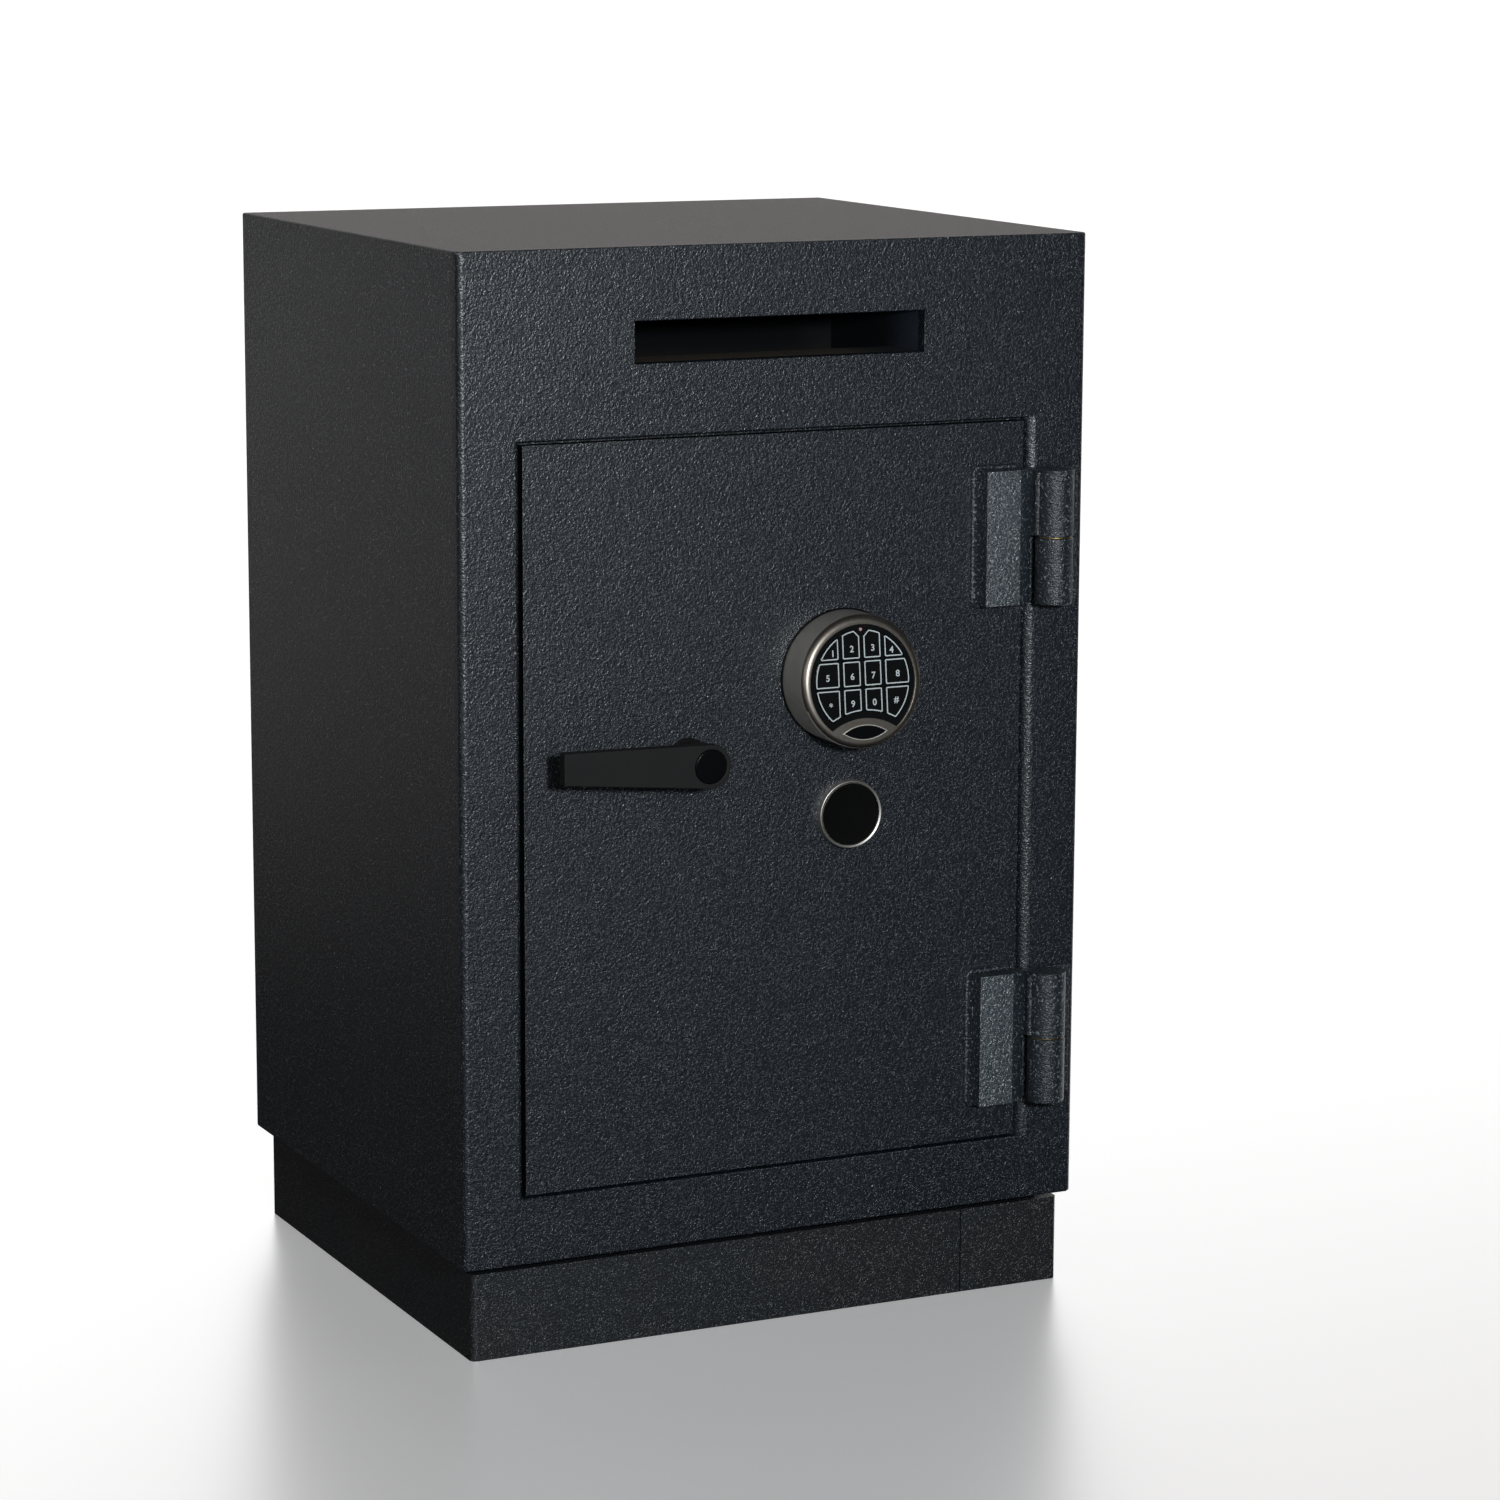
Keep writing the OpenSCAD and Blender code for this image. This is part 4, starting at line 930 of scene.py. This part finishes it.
def rounded(r, height, radius, count=4, inner=False):
    """Points of a quarter round at a corner of a section."""
    points = []
    for k in range(count + 1):
        a = math.pi / 2 * k / count
        if inner:
            points.append((r + radius * (1 - math.sin(a)), height - radius * (1 - math.cos(a))))
        else:
            points.append((r - radius * (1 - math.cos(a)), height - radius * (1 - math.sin(a))))
    return points


def centre(node):
    """The middle of a node's box seen from the front, in millimetres."""
    lo, hi = flat(node)
    return (lo[0] + hi[0]) / 2, (lo[1] + hi[1]) / 2


print("the keypad's axis:", centre("keypad_base"))

# %% Lever, cap and rose
CAP_R = 12.3
CAP_FOOT = 39
CAP_TOP = 42.4
CAP_CROWN = CAP_TOP + 0.1

softened("handle_lever", lever_black, 0.8, 3)
softened("handle_rose", lever_black, 0.5)
section = [(0, CAP_FOOT), (CAP_R, CAP_FOOT)] + rounded(CAP_R, CAP_TOP, 0.8)
section += [(6, CAP_CROWN), (0, CAP_CROWN)]
finish_piece(turned(section, *centre("handle_cap")), "lever_cap", "handle_cap", [cap_black])

# %% Key lock: satin ring and black cover
RING_H = 6
RING_R = 25.4
RING_BORE = 11.1
COVER_R = 22.8
COVER_EDGE = COVER_R - 0.2
COVER_TOP = 4.8
DISH_TOP = 4.4
SEAT_R = COVER_R + 0.1

lock_at = centre("key_escutcheon")
section = [(RING_BORE, 0), (RING_R, 0)] + rounded(RING_R, RING_H, 1.0)
section += rounded(SEAT_R, RING_H, 0.7, inner=True)[::-1]
section += [(SEAT_R, 1), (RING_BORE, 1), (RING_BORE, 0)]
finish_piece(turned(section, *lock_at), "lock_ring", "key_escutcheon", [ring_metal])
section = [(0, 1.3), (COVER_EDGE, 1.3)] + rounded(COVER_EDGE, COVER_TOP, 0.5)
section += [(COVER_R - 3.5, COVER_TOP), (COVER_R - 4.2, DISH_TOP), (0, DISH_TOP)]
finish_piece(turned(section, *lock_at), "lock_cover", "key_cover", [cover_black])
softened("key_lock", bright_steel, 0.3)

# %% [markdown]
# ## Keypad
# The keypad is a short cup of satin metal whose face leans back by six degrees. Everything on
# its face is built flat, with Z out of the face and Y up along it, and then stood in its place
# with one matrix. The housing starts as a circle that is drawn out to the leaning face. The
# black face is a circle too, but an arc cuts a crescent of bare metal from its foot, where the
# badge sits. The cup's front wears a darker, browner copy of the satin, which paints shade on
# it, and is less shiny than its side, so it has a finish of its own.

# %% The keypad's own frame
PAD_TILT = math.radians(6)
PAD_OUT = 35
FACE_UP = -0.5
pad_x, pad_z = centre("keypad_base")
PAD_LEAN = Matrix.Rotation(math.pi / 2 - PAD_TILT, 4, "X")
PAD = Matrix.Translation(at(pad_x, FACE_Y - PAD_OUT, pad_z)) @ PAD_LEAN
KEYS_AT = PAD @ Matrix.Translation(at(0, FACE_UP, 0))

PAD_R = 48.5
FACE_R = 42.4
ARC_R = 46
ARC_Y = -71.6
PAD_ROUND = 5
PAD_STEPS = 144


def face_radius(angle):
    """Distance from the black face's middle to its outline: a circle cut by the crescent's arc."""
    along = math.sin(angle) * ARC_Y
    reach = along ** 2 - ARC_Y ** 2 + ARC_R ** 2
    if along > 0 and reach > 0:
        return min(FACE_R, along - math.sqrt(reach))
    return FACE_R


CORNER_Y = (ARC_R ** 2 - FACE_R ** 2 - ARC_Y ** 2) / (-2 * ARC_Y)
CORNER_X = math.sqrt(FACE_R ** 2 - CORNER_Y ** 2)


def face_point(angle):
    """The outline's point in that direction; one of them lands exactly on each corner."""
    corner = math.atan2(CORNER_Y, CORNER_X)
    half_step = math.pi / PAD_STEPS
    for goal in (corner, -math.pi - corner):
        if abs(math.remainder(angle - goal, 2 * math.pi)) <= half_step:
            angle = goal
    r = face_radius(angle)
    return at(r * math.cos(angle), r * math.sin(angle), 0)


def stand(bm, matrix=KEYS_AT):
    """Stands a mesh made flat into its place on the keypad."""
    bmesh.ops.transform(bm, matrix=matrix, verts=bm.verts)
    return bm


print("the black face's corners:", CORNER_X, CORNER_Y)

# %% Housing
PAD_LOW = 2
RECESS = 8
RIM_ROUND = 0.5

bm = bmesh.new()
upright = Matrix.Translation(at(pad_x, FACE_Y - PAD_LOW, pad_z)) @ Matrix.Rotation(math.pi / 2, 4, "X")
foot = bmesh.ops.create_circle(bm, cap_ends=True, segments=PAD_STEPS, radius=mm(PAD_R), matrix=upright)
front = bmesh.ops.extrude_discrete_faces(bm, faces=list(bm.faces))["faces"][0]
bmesh.ops.contextual_create(bm, geom=foot["verts"])
for v in front.verts:
    v.co.y = mm(FACE_Y - PAD_OUT) + (v.co.z - mm(pad_z)) * math.tan(PAD_TILT)
round_edges(bm, front.edges, PAD_ROUND, 6)
front = max(bm.faces, key=lambda f: f.calc_area() if f.normal.dot(KEYS_AT.col[2].xyz) > 0.999 else 0)
bmesh.ops.transform(bm, matrix=KEYS_AT.inverted(), verts=bm.verts)
bmesh.ops.inset_individual(bm, faces=[front], thickness=mm(1))
for v in front.verts:
    v.co = face_point(math.atan2(v.co.y, v.co.x))
rim = list(front.edges)
floor_face = bmesh.ops.extrude_discrete_faces(bm, faces=[front])["faces"][0]
bmesh.ops.translate(bm, verts=floor_face.verts, vec=at(0, 0, -RECESS))
round_edges(bm, rim, RIM_ROUND)
# Faces that look out of the front get the darker copy: painted shade.
for face in bm.faces:
    if face.normal.z > 0.35:
        face.material_index = 1
finish_piece(stand(bm), "keypad_shell", "keypad_housing", [satin, shaded_front_satin], crease=50)

# %% Base ring, black face and lamp
section = [(0, 0), (PAD_R + 1, 0), (PAD_R + 1, 1.6), (PAD_R + 0.6, 2), (0, 2)]
finish_piece(turned(section, pad_x, pad_z, steps=96), "pad_gasket", "keypad_base", [cap_black])
softened("keypad_face", key_black, 0.25, 1, crease=30)
softened("led_lens", lens_red, 0.5, 3)

# %% The badge's place: a bare black field in a rim painted pale as a highlight
BADGE_W = 34
BADGE_H = 9.6
BADGE_UP = -35.9
BADGE_AT = PAD @ Matrix.Translation(at(0, BADGE_UP + FACE_UP, 0))


def lens_outline(bm, width, height, depth):
    """The badge's outline: two arcs that meet in points, as one face."""
    r = ((width / 2) ** 2 + (height / 2) ** 2) / height
    half = math.asin(width / 2 / r)
    steps = 24
    verts = []
    for sign in (1, -1):
        for k in range(steps):
            a = half - 2 * half * k / steps
            x = -r * math.sin(a)
            y = r * math.cos(a) - r + height / 2
            verts.append(bm.verts.new(at(sign * x, sign * y, depth)))
    return bm.faces.new(verts)


def top_of(bm):
    """The highest face of a mesh that is built flat."""
    return max(bm.faces, key=lambda f: f.calc_center_median().z)


def raised(bm, face, height):
    """Draws a flat face up into a plate and returns the plate's top; height is in metres."""
    made = bmesh.ops.extrude_face_region(bm, geom=[face])["geom"]
    verts = [g for g in made if isinstance(g, bmesh.types.BMVert)]
    bmesh.ops.translate(bm, verts=verts, vec=(0, 0, height))
    return top_of(bm)


bm = bmesh.new()
top = raised(bm, lens_outline(bm, BADGE_W, BADGE_H, -0.5), mm(0.6))
round_edges(bm, top.edges, 0.3, 2)
finish_piece(stand(bm, BADGE_AT), "badge_field", "keypad_badge", [cap_black])

# The rim round the badge wears the near white satin: a painted highlight.
bm = bmesh.new()
top = raised(bm, lens_outline(bm, BADGE_W + 2.4, BADGE_H + 2.0, -0.4), mm(1.0))
bmesh.ops.inset_individual(bm, faces=[top], thickness=mm(0.9))
dish = bmesh.ops.extrude_discrete_faces(bm, faces=[top])["faces"][0]
bmesh.ops.translate(bm, verts=dish.verts, vec=at(0, 0, -0.9))
round_edges(bm, [e for e in bm.edges if lies_at(e, 2, 0.6)], 0.3, 2)
finish_piece(stand(bm, BADGE_AT), "badge_rim", "keypad_housing", [rim_highlight_metal], stands=False,
             crease=60)

# %% [markdown]
# The keys have pale printed edges and one character each. A key starts as the outline of its
# CAD node: the corners are rounded, the outline is drawn up to a plate, its top is inset twice,
# and the ring between the two insets gets the printing colour. The characters are Blender's
# own plain font, filled to a thin plate and laid on the key, so that the export keeps them.

# %% A printed character
KEY_WORDS = {"key_star": "*", "key_hash": "#"}
CHAR_AT = {"key_1": (-23.4, 22.6), "key_2": (-8.0, 25.0), "key_3": (9.0, 25.0), "key_4": (24.2, 22.6),
           "key_5": (-28.1, 5.0), "key_6": (-8.3, 5.0), "key_7": (8.7, 5.0), "key_8": (28.5, 5.1),
           "key_star": (-26.5, -14.5), "key_9": (-8.6, -14.6), "key_0": (8.9, -14.5),
           "key_hash": (26.6, -14.3)}
CHAR_SIZE = 6.6
CHAR_BOLD = 0.12
CHAR_H = 0.08


def character(bm, word, x, y, z):
    """Adds one printed character, centred on a point of the key's top."""
    data = bpy.data.curves.new("character", "FONT")
    data.body = word
    data.size = mm(CHAR_SIZE)
    data.offset = mm(CHAR_BOLD)
    data.align_x = "CENTER"
    data.extrude = mm(CHAR_H / 2)
    words = bpy.data.objects.new("character", data)
    scene.collection.objects.link(words)
    solid = words.evaluated_get(bpy.context.evaluated_depsgraph_get())
    mesh = bpy.data.meshes.new_from_object(solid)
    low = min(v.co.y for v in mesh.vertices)
    high = max(v.co.y for v in mesh.vertices)
    mesh.transform(Matrix.Translation((mm(x), mm(y) - (low + high) / 2, z + mm(CHAR_H / 2))))
    count = len(bm.faces)
    bm.from_mesh(mesh)
    bm.faces.ensure_lookup_table()
    for face in bm.faces[count:]:
        face.material_index = 1
    bpy.data.objects.remove(words)
    bpy.data.curves.remove(data)
    bpy.data.meshes.remove(mesh)


print("characters:", len(CHAR_AT))

# %% An outline with soft corners
SHARP = math.radians(25)
CLEAR = 0.2
KEY_ROUND = 1.7


def soft_corners(points, radius, steps=6):
    """An outline whose sharp corners are rounded, also where they stand among short facets."""
    count = len(points)
    sides = [points[(i + 1) % count] - points[i] for i in range(count)]
    places = [sum(side.length for side in sides[:i]) for i in range(count)]
    total = sum(side.length for side in sides)

    def spot(place):
        place %= total
        i = max(k for k in range(count) if places[k] <= place)
        return points[i] + sides[i].normalized() * (place - places[i])

    turns = [abs(sides[i - 1].angle(sides[i])) for i in range(count)]
    reach = {i: radius * math.tan(turns[i] / 2) for i in range(count) if turns[i] > SHARP}
    outline = []
    for i, point in enumerate(points):
        if i in reach:
            first = spot(places[i] - reach[i])
            last = spot(places[i] + reach[i])
            for k in range(steps + 1):
                t = k / steps
                outline.append((1 - t) ** 2 * first + 2 * t * (1 - t) * point + t ** 2 * last)
            continue
        gaps = [abs(math.remainder(places[i] - places[k], total)) - reach[k] for k in reach]
        if min(gaps) > mm(CLEAR):
            outline.append(point)
    return outline


print("key corners rounded by", KEY_ROUND, "mm")

# %% Build the keys
KEY_EDGE = 0.2
EDGE_IN = 0.25
EDGE_W = 0.85


def build_key(name):
    """One key: a plate with the CAD key's outline, a printed edge and its character."""
    plain = node_bm(name)
    bmesh.ops.transform(plain, matrix=KEYS_AT.inverted(), verts=plain.verts)
    bmesh.ops.dissolve_limit(plain, angle_limit=math.radians(0.5), verts=plain.verts, edges=plain.edges)
    low = min(v.co.z for v in plain.verts)
    high = max(v.co.z for v in plain.verts)
    outline = soft_corners([Vector((v.co.x, v.co.y)) for v in top_of(plain).verts], mm(KEY_ROUND))
    plain.free()
    bm = bmesh.new()
    foot = bm.faces.new([bm.verts.new((p.x, p.y, low)) for p in outline])
    top = raised(bm, foot, high - low)
    bmesh.ops.recalc_face_normals(bm, faces=bm.faces)
    round_edges(bm, top.edges, KEY_EDGE, 2)
    top = max(bm.faces, key=lambda f: f.calc_center_median().z + 1e-3 * (f.normal.z > 0.999))
    bmesh.ops.inset_individual(bm, faces=[top], thickness=mm(EDGE_IN))
    for face in bmesh.ops.inset_individual(bm, faces=[top], thickness=mm(EDGE_W))["faces"]:
        face.material_index = 1
    character(bm, KEY_WORDS.get(name, name[-1]), *CHAR_AT[name], top.calc_center_median().z)
    finish_piece(stand(bm), name + "_cap", name, [key_black, print_white], crease=30)


for name in CHAR_AT:
    build_key(name)

# %% [markdown]
# ## Inside
# Behind the door the sheet metal is painted dark grey, the boltwork is plated or ground steel,
# and a few wearing parts are brass. These parts keep their CAD shapes, and only their machined
# edges are broken. The concrete is never seen, so its three nodes stay as they are and only
# get a finish.

# %% The other parts
SOFT_PARTS = [
    ("inner_liner", inner_paint, 0.6), ("anti_fishing_comb", zinc, 0.3),
    ("door_tray", inner_paint, 0.8), ("boltwork_cover", inner_paint, 0.6), ("dog_bar", zinc, 0.8),
    ("bolt_guide", zinc, 0.5), ("bolt_keepers", zinc, 0.5), ("bolt_carriage", zinc, 0.6),
    ("locking_bolts", bright_steel, 1.5), ("carriage_posts", bright_steel, 0.4), ("cam_disc", zinc, 0.5),
    ("handle_spindle", bright_steel, 0.4), ("handle_bush", brass, 0.4), ("lock_case", zinc, 1.2),
    ("lock_bolt", brass, 0.6), ("lock_screws", cap_black, 0.4), ("cover_screws", zinc, 0.4),
    ("plinth_bolts", zinc, 0.5), ("anchor_sleeves", zinc, 0.4), ("keypad_board", board_green, 0.1),
    ("keypad_battery", battery_shell, 1.0), ("keypad_cable", cap_black, 0.2)]
for node, finish, radius in SOFT_PARTS:
    softened(node, finish, radius)
for node in ("frame_fill", "barrier_fill", "door_fill"):
    for spot in frame["nodes"][node].material_slots:
        spot.material = stone
print("parts inside:", len(SOFT_PARTS))
